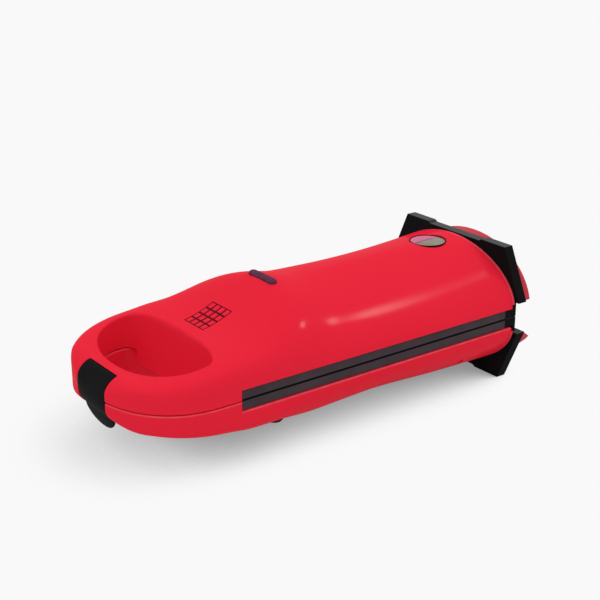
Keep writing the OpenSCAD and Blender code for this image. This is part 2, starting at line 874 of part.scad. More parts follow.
// Knuckle of width w centred on the hinge axis, with its web up to the wing
module knuckle(w) {
    translate([-w / 2, 0, 0]) {
        translate([0, hinge_y, 0]) rotate([0, 90, 0]) cylinder(r = knuckle_r, h = w);
        rotate([90, 0, 90])
            linear_extrude(height = w)
                polygon([
                    [hinge_y - knuckle_r, 0],
                    [hinge_y, 0],
                    [hinge_y, knuckle_r - 0.1],
                    [wing_rear, lid_cap_edge - 0.3],
                    [wing_rear, wing_edge + 2.5],
                    [shell_end + 1, wing_edge + 2.5],
                    [shell_end + 1, knuckle_r + 1]
                ]);
    }
}

module wing_body(h) {
    difference() {
        union() {
            translate([0, wing_rear, 0]) rotate([90, 0, 0])
                linear_extrude(height = wing_t) polygon(wing_outline(h));
            translate([-post_x, shell_end, knuckle_r + 1])
                cube([2 * post_x, wing_t, wing_edge - knuckle_r]);
            for (s = [-1, 1]) {
                translate([s > 0 ? post_x : -frame_hw + frame_gap, band_len + 0.2, half_gap])
                    cube([frame_hw - frame_gap - post_x, shell_end - band_len + 1.1,
                        band_h - half_gap - 0.1]);
                translate([s > 0 ? post_x : -frame_hw + frame_gap, shell_end, half_gap])
                    cube([frame_hw - frame_gap - post_x, 2.6, wing_edge]);
            }
        }
        // Passage for the wiring, and the rear screws' holes
        translate([0, shell_end - 1, gland_z]) rod_y(6, wing_t + 2);
        at_rear_bosses() translate([0, -1, 0]) rod_y(screw_r + screw_gap, wing_t + 2);
    }
}

module lid_wing_body() {
    color(black)
    difference() {
        union() {
            wing_body(lid_wing_h);
            for (s = [-1, 1]) translate([s * hinge_x, 0, 0]) knuckle(knuckle_w);
        }
        translate([0, hinge_y, 0]) rod_x(hinge_pin_r + run_gap, far / 2);
    }
}

module base_wing_body() {
    color(black)
    mirror([0, 0, 1])
    difference() {
        union() {
            wing_body(base_wing_h);
            for (s = [-1, 1], e = [-1, 1]) {
                translate([s * hinge_x + e * (knuckle_w / 2 + side_gap + ear_w / 2), 0, 0])
                    knuckle(ear_w);
            }
        }
        translate([0, hinge_y, 0]) rod_x(hinge_pin_r, far / 2);
    }
}

module hinge_pins_body() {
    color(steel)
    for (s = [-1, 1]) {
        translate([s * hinge_x, hinge_y, 0]) {
            l = knuckle_w + 2 * (side_gap + ear_w);
            rod_x(hinge_pin_r, l + 1);
            for (e = [-1, 1]) {
                translate([e * (l / 2 + 0.6), 0, 0]) rod_x(hinge_pin_r + 1.2, 1.2);
            }
        }
    }
}

// Rear cover: an arched outline behind the wing, drawn in towards a domed back
function cap_loop(y, w, h, low) =
    let (a0 = asin(pow(low / h, cap_sq / 2)))
    [for (k = [0:24])
        let (a = a0 + (180 - 2 * a0) * k / 24)
        [w * sign(cos(a)) * pow(abs(cos(a)), 2 / cap_sq), y, h * pow(sin(a), 2 / cap_sq)]];

module cap_form(hw, depth, inset, low, front) {
    w = hw - inset;
    h = cap_h - inset;
    d = depth - inset;
    loft(concat(
        [cap_loop(wing_rear - front, w, h, low)],
        [for (a = [12, 28, 42, 54, 64, 72, 78])
            let (f = pow(cos(a), 2 / cap_dome))
            cap_loop(wing_rear + d * pow(sin(a), 2 / cap_dome), w * f, h * f, low)]
    ));
}

module cap_screw_posts() {
    at_rear_bosses() translate([0, wing_t, 0]) rod_y(5, far / 8);
}

module cap_screw_bores(depth) {
    at_rear_bosses() {
        translate([0, wing_t - 1, 0]) rod_y(screw_r + screw_gap, far / 8);
        translate([0, wing_t + depth - 5, 0]) rod_y(screw_head_r + screw_gap, far / 8);
    }
}

module lid_rear_cover_body() {
    color(red)
    difference() {
        union() {
            difference() {
                cap_form(lid_cap_hw, lid_cap_d, 0, lid_cap_edge, 0);
                cap_form(lid_cap_hw, lid_cap_d, wall, lid_cap_edge + wall, 1);
            }
            intersection() {
                cap_screw_posts();
                cap_form(lid_cap_hw, lid_cap_d, wall / 2, lid_cap_edge + wall / 2, 0);
            }
        }
        cap_screw_bores(lid_cap_d);
    }
}

// Slope that clears the way of the lid's cover
module base_cap_slope(drop) {
    rotate([90, 0, 90])
        linear_extrude(height = far, center = true)
            polygon([
                [wing_rear - 5, -1],
                [rear_y + 5, -1],
                [rear_y + 5, wing_edge + drop + cap_slope * (base_cap_d + 5)],
                [wing_rear, wing_edge + drop],
                [wing_rear - 5, wing_edge + drop]
            ]);
}

module base_rear_cover_body() {
    color(red)
    mirror([0, 0, 1])
    difference() {
        union() {
            difference() {
                cap_form(base_cap_hw, base_cap_d, 0, 4, 0);
                difference() {
                    cap_form(base_cap_hw, base_cap_d, wall, 4, 1);
                    base_cap_slope(wall * 1.2);
                }
                base_cap_slope(0);
            }
            intersection() {
                cap_screw_posts();
                cap_form(base_cap_hw, base_cap_d, wall / 2, 18, 0);
            }
            // Flat seat for the gland on the domed back
            translate([0, rear_y - wall, gland_z]) rod_y(gland_r + 2, wall);
        }
        cap_screw_bores(base_cap_d);
        translate([0, wing_rear, gland_z]) rod_y(gland_r, far / 8);
        translate([0, rear_y - wall - 6, gland_z]) rod_y(gland_r + 1.2 + screw_gap, 6);
    }
}

module lid_rear_screws_body() {
    color(steel)
    at_rear_bosses() translate([0, wing_t + lid_cap_d - 5, 0]) rotate([90, 0, 0])
        screw(lid_cap_d - 5 + wing_t + 11);
}

module base_rear_screws_body() {
    color(steel)
    mirror([0, 0, 1])
    at_rear_bosses() translate([0, wing_t + base_cap_d - 5, 0]) rotate([90, 0, 0])
        screw(base_cap_d - 5 + wing_t + 11);
}

// Bushing that a cord would come out of
module cord_gland_body() {
    color(black)
    mirror([0, 0, 1])
    translate([0, rear_y - wall, gland_z])
        difference() {
            union() {
                translate([0, -3, 0]) rod_y(gland_r, wall + 3 + gland_lip);
                translate([0, wall, 0]) rod_y(gland_r + 1.4, gland_lip);
                translate([0, -3, 0]) rod_y(gland_r + 1.2, 3);
            }
            translate([0, -4, 0]) rod_y(gland_bore_r, wall + 8);
        }
}

module terminal_block_body() {
    color("ivory")
    mirror([0, 0, 1])
    difference() {
        translate([-31, shell_end - 9, rear_boss_z - boss_r - 10.6]) cube([22, 9, 10]);
        for (x = [-26.5, -20, -13.5]) {
            translate([x, shell_end - 10, rear_boss_z - boss_r - 5.6]) rod_y(1.6, 8);
        }
    }
}

// Pad on the lid's hump and front foot under the base's hump
module lid_pad_body() {
    color(grey)
    translate([0, hump_y, crown_hump - wall / 2])
        capsule(pad_l - 0.2, pad_w - 0.2, wall / 2 + pad_proud, 1);
}

module front_foot_body() {
    color(grey)
    mirror([0, 0, 1])
    translate([0, hump_y, base_hump - wall / 2])
        capsule(foot_l - 0.2, foot_w - 0.2, wall / 2 + foot_proud, 1);
}

// Round window on the lid: rim, two lenses, two lamps and their holder
lens_top = crown(lens_y) + 0.3;
lens_in_r = lens_r - bezel_w;

module lens_bezel_body() {
    color(black)
    translate([0, lens_y, 0])
        difference() {
            union() {
                translate([0, 0, lens_top - 5]) cylinder(r = lens_r - 0.05, h = 4.4);
                translate([0, 0, lens_top - 6.6]) cylinder(r = lens_r + 2, h = 1.6);
            }
            translate([0, 0, lens_top - 3]) cylinder(r = lens_in_r, h = 9);
            for (s = [0, 180]) {
                rotate([0, 0, s]) translate([0, 0, lens_top - 9]) half_disc(lens_in_r - 1.6, 9, 1.4);
            }
        }
}

// Half of a disc on the +x side, with a straight edge half a split away
module half_disc(r, h, split) {
    difference() {
        cylinder(r = r, h = h);
        translate([-2 * r, -2 * r, -1]) cube([2 * r + split / 2, 4 * r, h + 2]);
    }
}

module lens_half(side) {
    translate([0, lens_y, 0])
        intersection() {
            rotate([0, 0, side]) translate([0, 0, lens_top - 3]) half_disc(lens_in_r - 0.05, 9, lens_split);
            translate([0, 0, lens_top - lens_dome]) sphere(r = lens_dome, $fn = 160);
        }
}

module power_lens_body() {
    color("hotpink") lens_half(180);
}

module ready_lens_body() {
    color("darkseagreen") lens_half(0);
}

lamp_z = tray_z + tray_t + 3;

module lamp_holder_body() {
    color("ivory")
    translate([0, lens_y, 0])
        difference() {
            union() {
                translate([-13, -4, lamp_z]) cube([26, 8, 2.4]);
                for (s = [-1, 1]) {
                    translate([s * 11.5 - 1.5, -4, lamp_z]) cube([3, 8, lens_top - 6.6 - lamp_z]);
                }
            }
            for (s = [-1, 1]) translate([s * 5, 0, lamp_z - 1]) cylinder(r = 1.2, h = 9);
        }
}

module indicator_lamps_body() {
    color("orange")
    for (s = [-1, 1]) {
        translate([s * 5, lens_y, lamp_z + 2.4]) {
            cylinder(r = 2.4, h = 3.6);
            translate([0, 0, 3.6]) sphere(r = 2.4);
            translate([0, 0, -3.4]) cylinder(r = 1.2, h = 3.6);
        }
    }
}

// Disc thermostat and fuse on the back of the lid's plate
module thermostat_body() {
    color("saddlebrown")
    translate([0, post_ys[1] + 22, bowl_h]) {
        cylinder(r = 8, h = 3.4);
        cylinder(r = 6.6, h = 6.6);
        translate([-12, -3.5, 0]) cube([24, 7, 0.8]);
    }
}

module thermal_fuse_body() {
    color("white")
    translate([0, post_ys[1] - 30, bowl_h + 2]) {
        rod_y(2, 14);
        translate([0, -5, 0]) rod_y(0.6, 24);
        translate([-2.4, 5, -2]) cube([4.8, 4, 1.2]);
    }
}

// Front clip: a curved plate on a barrel, a snap bead and a thumb lip.
// Nose line in side view at angle a, grown outwards by p
function nose_point(a, p) = [
    nose_y - (nose_drop + p) * pow(cos(a), 2 / drop_sq),
    (crown_nose + p) * sign(a) * pow(abs(sin(a)), 2 / drop_sq)
];

// Angle at which the grown nose line is at height z
function nose_angle(z, p) = sign(z) * asin(pow(abs(z) / (crown_nose + p), drop_sq / 2));

fold_a = nose_angle(-lip_fold, clip_proud);
fold = nose_point(fold_a, clip_proud);
barrel_a = nose_angle(clip_pivot_z + clip_barrel_r * 0.96, clip_proud);

module clip_profile() {
    steps = 16;
    inner_p = clip_proud - clip_t;
    in_top = nose_angle(clip_pivot_z, inner_p);
    in_low = nose_angle(-lip_fold + 2.4, inner_p);
    polygon(concat(
        [for (k = [0:steps]) nose_point(barrel_a + (fold_a - barrel_a) * k / steps, clip_proud)],
        [[fold[0] + lip_lean, -lip_fold - lip_len],
            [fold[0] + lip_lean + clip_t, -lip_fold - lip_len + 0.8],
            [catch_face_y - 1.4, -lip_fold + 1.6],
            [catch_face_y - 1.4, -lip_fold + 3.2]],
        [for (k = [0:steps]) nose_point(in_low + (in_top - in_low) * k / steps, inner_p)]
    ));
    translate([clip_pivot_y, clip_pivot_z]) circle(r = clip_barrel_r);
}

module front_clip_body() {
    color(black)
    difference() {
        intersection() {
            rotate([90, 0, 90])
                linear_extrude(height = 2 * clip_hw, center = true)
                    clip_profile();
            union() {
                // Plan line of the nose above the fold, tongue outline below it
                translate([0, 0, -lip_fold])
                    linear_extrude(height = far / 8)
                        polygon(concat(
                            [[clip_hw, -40], [-clip_hw, -40]],
                            [for (x = [-clip_hw:2:clip_hw])
                                [x, -nose_start - (nose_len + clip_proud)
                                    * pow(1 - pow(abs(x) / (shell_hw + clip_proud), nose_sq), 1 / nose_sq)]]
                        ));
                translate([0, -40, -lip_fold]) rotate([90, 0, 0])
                    linear_extrude(height = 60)
                        polygon([for (k = [0:24])
                            [clip_hw * cos(180 + 7.5 * k), (lip_len + 0.01) * sin(180 + 7.5 * k)]]);
            }
        }
        translate([0, clip_pivot_y, clip_pivot_z]) rod_x(clip_pin_r + run_gap, far / 4);
    }
}

module clip_pin_body() {
    color(steel)
    translate([0, clip_pivot_y, clip_pivot_z]) rod_x(clip_pin_r, clip_pin_l);
}

// Catch behind the clip's window in the base
catch_floor = crown_nose - wall - 1.4;
catch_seat_y = catch_face_y + 3.2;

module clip_catch_body() {
    color(black)
    mirror([0, 0, 1])
    difference() {
        union() {
            translate([-clip_hw - 3, catch_face_y, 1.2]) cube([2 * clip_hw + 6, 2, catch_floor - 1.2]);
            translate([-6, catch_face_y, catch_floor - 7]) cube([12, 4.6, 7]);
            translate([0, catch_face_y + 0.01, 5])
                rotate([90, 0, 90])
                    linear_extrude(height = 2 * clip_hw - 4, center = true)
                        polygon([[0, -1.6], [-1, 0], [-1, 1], [0, 1]]);
        }
        translate([0, catch_seat_y, catch_floor - 6]) cylinder(r = screw_r, h = 9);
    }
}

module clip_catch_screw_body() {
    color(steel)
    mirror([0, 0, 1])
    translate([0, catch_seat_y, catch_floor + 1.6]) mirror([0, 0, 1]) screw(7);
}

// Lifts a sub-part from the working frame onto its feet, centred over the object
module at_home() {
    translate([0, -mid_y, base_wing_h]) children();
}

// The base's own copy of a part that is drawn for the lid
module at_base() {
    at_home() mirror([0, 0, 1]) children();
}

module base_shell() { at_home() base_shell_body(); }
module base_frame() { at_home() base_frame_body(); }
module lower_plate() { at_base() plate_body(); }
module lower_heater() { at_base() heater_body(); }
module lower_heater_clamps() { at_base() heater_clamps_body(); }
module lower_reflector() { at_base() reflector_body(); }
module lower_plate_screws() { at_base() plate_screws_body(); }
module lower_reflector_screws() { at_base() reflector_screws_body(); }
module base_shell_screws() { at_home() base_shell_screws_body(); }
module base_wing() { at_home() base_wing_body(); }
module base_rear_cover() { at_home() base_rear_cover_body(); }
module base_rear_screws() { at_home() base_rear_screws_body(); }
module hinge_pins() { at_home() hinge_pins_body(); }
module front_foot() { at_home() front_foot_body(); }
module clip_catch() { at_home() clip_catch_body(); }
module clip_catch_screw() { at_home() clip_catch_screw_body(); }
module cord_gland() { at_home() cord_gland_body(); }
module terminal_block() { at_home() terminal_block_body(); }
module lid_shell() { at_home() lid_shell_body(); }
module lid_frame() { at_home() lid_frame_body(); }
module upper_plate() { at_home() plate_body(); }
module upper_heater() { at_home() heater_body(); }
module upper_heater_clamps() { at_home() heater_clamps_body(); }
module upper_reflector() { at_home() reflector_body(); }
module upper_plate_screws() { at_home() plate_screws_body(); }
module upper_reflector_screws() { at_home() reflector_screws_body(); }
module lid_shell_screws() { at_home() lid_shell_screws_body(); }
module lid_wing() { at_home() lid_wing_body(); }
module lid_rear_cover() { at_home() lid_rear_cover_body(); }
module lid_rear_screws() { at_home() lid_rear_screws_body(); }
module lid_pad() { at_home() lid_pad_body(); }
module lens_bezel() { at_home() lens_bezel_body(); }
module power_lens() { at_home() power_lens_body(); }
module ready_lens() { at_home() ready_lens_body(); }
module indicator_lamps() { at_home() indicator_lamps_body(); }
module lamp_holder() { at_home() lamp_holder_body(); }
module thermostat() { at_home() thermostat_body(); }
module thermal_fuse() { at_home() thermal_fuse_body(); }
module front_clip() { at_home() front_clip_body(); }
module clip_pin() { at_home() clip_pin_body(); }

base_shell();
base_frame();
lower_plate();
lower_heater();
lower_heater_clamps();
lower_reflector();
lower_plate_screws();
lower_reflector_screws();
base_shell_screws();
base_wing();
base_rear_cover();
base_rear_screws();
hinge_pins();
front_foot();
clip_catch();
clip_catch_screw();
cord_gland();
terminal_block();
lid_shell();
lid_frame();
upper_plate();
upper_heater();
upper_heater_clamps();
upper_reflector();
upper_plate_screws();
upper_reflector_screws();
lid_shell_screws();
lid_wing();
lid_rear_cover();
lid_rear_screws();
lid_pad();
lens_bezel();
power_lens();
ready_lens();
indicator_lamps();
lamp_holder();
thermostat();
thermal_fuse();
front_clip();
clip_pin();
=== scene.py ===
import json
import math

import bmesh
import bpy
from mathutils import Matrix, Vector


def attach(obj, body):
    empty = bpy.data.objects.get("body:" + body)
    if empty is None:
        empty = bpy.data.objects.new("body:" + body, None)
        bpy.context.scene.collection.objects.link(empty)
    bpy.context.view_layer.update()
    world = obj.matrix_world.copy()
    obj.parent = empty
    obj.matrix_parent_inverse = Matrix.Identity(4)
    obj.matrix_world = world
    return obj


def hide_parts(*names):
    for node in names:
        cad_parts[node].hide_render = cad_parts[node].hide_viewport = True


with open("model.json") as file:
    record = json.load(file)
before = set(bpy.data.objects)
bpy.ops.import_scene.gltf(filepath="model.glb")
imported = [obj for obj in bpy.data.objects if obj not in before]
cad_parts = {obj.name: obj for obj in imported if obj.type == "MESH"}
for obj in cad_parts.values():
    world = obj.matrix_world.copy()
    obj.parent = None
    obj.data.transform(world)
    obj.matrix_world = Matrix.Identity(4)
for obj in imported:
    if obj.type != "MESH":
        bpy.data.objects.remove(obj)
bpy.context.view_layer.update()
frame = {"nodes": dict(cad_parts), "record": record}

# %% [markdown]
# # A two-slice waffle iron
#
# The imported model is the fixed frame: every hinge, screw and wall is already where it belongs.
# This lesson dresses it. Shells that need a smooth, deep gloss are built again with fine faces,
# the plain moulded parts keep their own mesh and get softened edges and a finish, and at the end
# come the camera, the light and the floor.

MM = 0.001
REST = 47.8  # height of the seam between lid and base over the floor, in mm
MID = 90.05  # from the plate frames' front end to the middle of the object, in mm
nodes = frame["nodes"]


def home(x, y, z):
    """A point of the working frame, in mm from the seam and the plate frames' front end, in metres."""
    return (x * MM, (y - MID) * MM, (z + REST) * MM)


# %% [markdown]
# ## The camera
#
# The photograph was taken from the front right, a little above the object, with a long lens. Straight
# edges of the plate frames and of the rear wings gave its place, and the lens follows from how fast
# they draw together.

# %% Camera of the photograph
camera_data = bpy.data.cameras.new("photo_camera")
camera_data.sensor_width = 36
camera_data.lens = 74.634
camera_data.clip_start = 0.05
camera_data.clip_end = 20
camera = bpy.data.objects.new("photo_camera", camera_data)
bpy.context.scene.collection.objects.link(camera)
turn = math.radians(53.36)
dip = math.radians(20.58)
camera.location = home(594.89, -356.70, 302.21)
aim = Vector((-math.sin(turn) * math.cos(dip), math.cos(turn) * math.cos(dip), -math.sin(dip)))
camera.rotation_mode = "QUATERNION"
camera.rotation_quaternion = aim.to_track_quat("-Z", "Y")
bpy.context.scene.camera = camera
print("camera at", [round(v, 3) for v in camera.location])

# %% [markdown]
# ## Tools for finishes
#
# Every finish starts from one Principled shader. Two small helpers add what real plastic and metal
# have: a slow change of tone and gloss over the surface, and a fine relief that breaks reflections.


# %% Helpers for finishes
NOISE_LOW, NOISE_HIGH = 0.3, 0.7  # a noise seldom leaves this span
# Colour of the painted shade in the gap at the seam.
SEAM_SHADE_BLACK = (0.002, 0.002, 0.002, 1)


def new_finish(name, colour, rough, metal=0.0, shine=0.5, coat=0.0, coat_rough=0.15):
    """An empty finish with its constant values on the shader's own sockets."""
    finish = bpy.data.materials.new(name)
    finish.use_nodes = True
    shader = finish.node_tree.nodes["Principled BSDF"]
    shader.inputs["Base Color"].default_value = (*colour, 1)
    shader.inputs["Roughness"].default_value = rough
    shader.inputs["Metallic"].default_value = metal
    shader.inputs["Specular IOR Level"].default_value = shine
    shader.inputs["Coat Weight"].default_value = coat
    shader.inputs["Coat Roughness"].default_value = coat_rough
    return finish, shader


def noise(finish, scale, detail=3.0, stretch=(1, 1, 1)):
    """A noise on the object's own coordinates, in cycles a metre."""
    tree = finish.node_tree
    place = tree.nodes.new("ShaderNodeTexCoord")
    size = tree.nodes.new("ShaderNodeMapping")
    size.inputs["Scale"].default_value = stretch
    grain = tree.nodes.new("ShaderNodeTexNoise")
    grain.inputs["Scale"].default_value = scale
    grain.inputs["Detail"].default_value = detail
    tree.links.new(place.outputs["Object"], size.inputs["Vector"])
    tree.links.new(size.outputs["Vector"], grain.inputs["Vector"])
    return grain.outputs["Fac"]


def vary_colour(finish, shader, fac, low, high):
    """Runs the base colour from low to high along fac."""
    tree = finish.node_tree
    ramp = tree.nodes.new("ShaderNodeValToRGB")
    ramp.color_ramp.elements[0].position = NOISE_LOW
    ramp.color_ramp.elements[1].position = NOISE_HIGH
    ramp.color_ramp.elements[0].color = (*low, 1)
    ramp.color_ramp.elements[1].color = (*high, 1)
    tree.links.new(fac, ramp.inputs["Fac"])
    tree.links.new(ramp.outputs["Color"], shader.inputs["Base Color"])


def vary_gloss(finish, shader, fac, low, high):
    """Runs the roughness from low to high along fac."""
    tree = finish.node_tree
    span = tree.nodes.new("ShaderNodeMapRange")
    span.inputs["From Min"].default_value = NOISE_LOW
    span.inputs["From Max"].default_value = NOISE_HIGH
    span.inputs["To Min"].default_value = low
    span.inputs["To Max"].default_value = high
    tree.links.new(fac, span.inputs["Value"])
    tree.links.new(span.outputs["Result"], shader.inputs["Roughness"])


# %% [markdown]
# ## Relief, upward faces and joints
#
# Relief breaks reflections. Two more helpers look at where a face is: faces that look up get a painted
# highlight, and where lid and base meet a painted shade blackens the gap.


# %% Helpers for relief and place
def relief(finish, shader, fac, depth, strength):
    """Raises the surface by up to depth metres along fac."""
    tree = finish.node_tree
    bump = tree.nodes.new("ShaderNodeBump")
    bump.inputs["Strength"].default_value = strength
    bump.inputs["Distance"].default_value = depth
    tree.links.new(fac, bump.inputs["Height"])
    tree.links.new(bump.outputs["Normal"], shader.inputs["Normal"])
    tree.links.new(bump.outputs["Normal"], shader.inputs["Coat Normal"])


def facing_up(finish):
    """1 on faces that look up, 0 on all others, taken from the object's own normals."""
    tree = finish.node_tree
    place = tree.nodes.new("ShaderNodeTexCoord")
    parts = tree.nodes.new("ShaderNodeSeparateXYZ")
    span = tree.nodes.new("ShaderNodeMapRange")
    span.inputs["From Min"].default_value = 0.7
    span.inputs["From Max"].default_value = 1.0
    tree.links.new(place.outputs["Normal"], parts.inputs[0])
    tree.links.new(parts.outputs["Z"], span.inputs["Value"])
    return span.outputs["Result"]


def paint_seam_shade(finish, shader, near, far):
    """Blackens a finish within near metres of the seam's height as painted shade of the gap between lid and
    base; at far metres it has its own colour.
    """
    tree = finish.node_tree
    place = tree.nodes.new("ShaderNodeTexCoord")
    parts = tree.nodes.new("ShaderNodeSeparateXYZ")
    lower = tree.nodes.new("ShaderNodeMath")
    lower.operation = "SUBTRACT"
    lower.inputs[1].default_value = REST * MM
    away = tree.nodes.new("ShaderNodeMath")
    away.operation = "ABSOLUTE"
    span = tree.nodes.new("ShaderNodeMapRange")
    span.inputs["From Min"].default_value = near
    span.inputs["From Max"].default_value = far
    blend = tree.nodes.new("ShaderNodeMix")
    blend.data_type = "RGBA"
    blend.inputs["A"].default_value = SEAM_SHADE_BLACK
    tree.links.new(place.outputs["Object"], parts.inputs[0])
    tree.links.new(parts.outputs["Z"], lower.inputs[0])
    tree.links.new(lower.outputs[0], away.inputs[0])
    tree.links.new(away.outputs[0], span.inputs["Value"])
    tree.links.new(span.outputs["Result"], blend.inputs["Factor"])
    tree.links.new(shader.inputs["Base Color"].links[0].from_socket, blend.inputs["B"])
    tree.links.new(blend.outputs["Result"], shader.inputs["Base Color"])


def dress(piece, finish):
    """Gives a piece or a CAD node one finish all over."""
    piece.data.materials.clear()
    piece.data.materials.append(finish)


# %% [markdown]
# ## The red plastic
#
# The shells are moulded in a glossy, heat-proof plastic. Its red is nearly pure. A moulding is never
# quite even: the gloss changes slowly, and the skin has a faint waviness that softens reflections. Along
# the rims the red is painted a little paler, a painted highlight where the rounded edges catch the light.

# %% Red plastic
red_plastic, red_shader = new_finish("red_plastic", (0.82, 0.016, 0.040), 0.22, shine=0, coat=0.08)
vary_colour(red_plastic, red_shader, noise(red_plastic, 9, 2), (0.81, 0.015, 0.038), (0.83, 0.017, 0.042))
vary_gloss(red_plastic, red_shader, noise(red_plastic, 40, 4), 0.19, 0.26)
relief(red_plastic, red_shader, noise(red_plastic, 420, 2), 0.00004, 0.25)

# A paler red for the rims: a painted highlight where the edges catch the light.
rim_painted_highlight, rim_highlight_shader = new_finish("red_painted_rim_highlight", (0.84, 0.07, 0.10), 0.22, shine=0, coat=0.08)
vary_colour(rim_painted_highlight, rim_highlight_shader, noise(rim_painted_highlight, 160, 3), (0.83, 0.05, 0.08), (0.85, 0.09, 0.12))
vary_gloss(rim_painted_highlight, rim_highlight_shader, noise(rim_painted_highlight, 300, 3), 0.18, 0.3)
print("finishes:", [m.name for m in (red_plastic, rim_painted_highlight)])

# %% [markdown]
# ## The black and the grey plastic
#
# The clip is black and fairly glossy. The wings, which are the feet the iron stands on when it is stored
# upright, are duller, and their upward faces are painted a lighter grey, a painted highlight of the light
# from above. The plate frames are a dark grey with the fine grain of an etched mould, blackened by painted
# shade next to the seam, and the rear covers are a darker, pinker red with a satin skin, painted shade and
# painted reflection of their rear-facing sides.

# %% Black plastic and grey plastic
black_plastic, black_shader = new_finish("black_plastic", (0.005, 0.005, 0.0055), 0.28,
                                         shine=0, coat=0.08, coat_rough=0.22)
vary_colour(black_plastic, black_shader, noise(black_plastic, 30, 3),
            (0.003, 0.003, 0.0035), (0.008, 0.008, 0.009))
vary_gloss(black_plastic, black_shader, noise(black_plastic, 120, 4), 0.24, 0.34)
relief(black_plastic, black_shader, noise(black_plastic, 1800, 2), 0.00002, 0.3)

wing_plastic, wing_shader = new_finish("wing_plastic", (0.007, 0.007, 0.0075), 0.4,
                                       shine=0, coat=0.05, coat_rough=0.3)
# The wings' upward faces get a lighter grey: a painted highlight of the light from above.
vary_colour(wing_plastic, wing_shader, facing_up(wing_plastic), (0.007, 0.007, 0.0075), (0.085, 0.085, 0.086))
vary_gloss(wing_plastic, wing_shader, noise(wing_plastic, 150, 4), 0.34, 0.48)
relief(wing_plastic, wing_shader, noise(wing_plastic, 2200, 2), 0.00002, 0.4)

grey_plastic, grey_shader = new_finish("grey_plastic", (0.056, 0.042, 0.048), 0.38,
                                       shine=0, coat=0.08, coat_rough=0.35)
vary_colour(grey_plastic, grey_shader, noise(grey_plastic, 60, 3),
            (0.050, 0.037, 0.042), (0.062, 0.047, 0.054))
vary_gloss(grey_plastic, grey_shader, noise(grey_plastic, 200, 4), 0.34, 0.46)
# The frames blacken next to the seam: painted shade in the gap between lid and base.
paint_seam_shade(grey_plastic, grey_shader, 0.0005, 0.0009)
relief(grey_plastic, grey_shader, noise(grey_plastic, 2600, 2), 0.00003, 0.35)

# The rear covers' red is darker and pinker than the shells': painted shade and painted reflection of their
# rear-facing sides.
satin_red_painted_shade, satin_shade_shader = new_finish("satin_red_painted_shade", (0.56, 0.035, 0.055), 0.35,
                                     shine=0, coat=0.25, coat_rough=0.4)
vary_colour(satin_red_painted_shade, satin_shade_shader, noise(satin_red_painted_shade, 14, 2), (0.54, 0.033, 0.052), (0.58, 0.038, 0.059))
vary_gloss(satin_red_painted_shade, satin_shade_shader, noise(satin_red_painted_shade, 90, 4), 0.3, 0.42)
relief(satin_red_painted_shade, satin_shade_shader, noise(satin_red_painted_shade, 1600, 2), 0.00002, 0.3)
print("finishes:", [m.name for m in (black_plastic, wing_plastic, grey_plastic, satin_red_painted_shade)])

# %% [markdown]
# ## Metals, rubber and ceramics inside
#
# The plates are cast aluminium under a dark non-stick coat with a pebbled skin. The sheathed elements
# are heat-tinted steel, drawn lengthways. Reflectors are bright rolled sheet, and screws are zinc-plated.

# %% Finishes of the inner parts
coat, coat_shader = new_finish("nonstick_coat", (0.030, 0.030, 0.032), 0.42, 0.2)
vary_colour(coat, coat_shader, noise(coat, 700, 4), (0.022, 0.022, 0.024), (0.042, 0.042, 0.045))
vary_gloss(coat, coat_shader, noise(coat, 300, 3), 0.34, 0.5)
relief(coat, coat_shader, noise(coat, 1500, 3), 0.00006, 0.5)

sheet_metal, sheet_shader = new_finish("bright_sheet", (0.72, 0.72, 0.74), 0.3, 1.0)
vary_gloss(sheet_metal, sheet_shader, noise(sheet_metal, 60, 4, (1, 0.05, 1)), 0.22, 0.42)
relief(sheet_metal, sheet_shader, noise(sheet_metal, 900, 2, (1, 0.03, 1)), 0.00002, 0.3)

sheath, sheath_shader = new_finish("heater_sheath", (0.38, 0.36, 0.34), 0.36, 1.0)
vary_colour(sheath, sheath_shader, noise(sheath, 25, 3), (0.30, 0.27, 0.26), (0.45, 0.42, 0.38))
relief(sheath, sheath_shader, noise(sheath, 900, 2, (1, 0.05, 1)), 0.00002, 0.3)

zinc, zinc_shader = new_finish("zinc", (0.60, 0.60, 0.62), 0.32, 1.0)
vary_gloss(zinc, zinc_shader, noise(zinc, 500, 3), 0.26, 0.44)
relief(zinc, zinc_shader, noise(zinc, 2200, 2), 0.00002, 0.3)

rubber, rubber_shader = new_finish("dark_rubber", (0.11, 0.035, 0.065), 0.5,
                                   shine=0, coat=0.05, coat_rough=0.3)
vary_colour(rubber, rubber_shader, noise(rubber, 200, 3), (0.09, 0.03, 0.055), (0.13, 0.042, 0.078))
relief(rubber, rubber_shader, noise(rubber, 3000, 2), 0.00004, 0.4)

white_plastic, white_shader = new_finish("white_plastic", (0.80, 0.79, 0.74), 0.5)
vary_colour(white_plastic, white_shader, noise(white_plastic, 90, 3), (0.76, 0.75, 0.70), (0.84, 0.83, 0.78))
relief(white_plastic, white_shader, noise(white_plastic, 1500, 2), 0.00003, 0.3)

lamp_glass, lamp_shader = new_finish("lamp_glass", (0.9, 0.62, 0.45), 0.08)
vary_colour(lamp_glass, lamp_shader, noise(lamp_glass, 300, 2), (0.85, 0.50, 0.35), (0.95, 0.72, 0.55))
print("finishes:", [m.name for m in (coat, sheet_metal, sheath, zinc, rubber, white_plastic, lamp_glass)])

# %% [markdown]
# ## Modelling helpers
#
# Three moves come back all the time: select one object and nothing else, cut one solid out of another,
# and shade a piece smooth while its true corners stay crisp.


# %% Modelling helpers
def pick(piece):
    """Leaves one object selected and active."""
    bpy.ops.object.select_all(action="DESELECT")
    piece.select_set(True)
    bpy.context.view_layer.objects.active = piece


def apply_modifier(piece, kind, **settings):
    """Adds a modifier and applies it at once."""
    pick(piece)
    step = piece.modifiers.new(kind.lower(), kind)
    for key, value in settings.items():
        setattr(step, key, value)
    bpy.ops.object.modifier_apply(modifier=step.name)


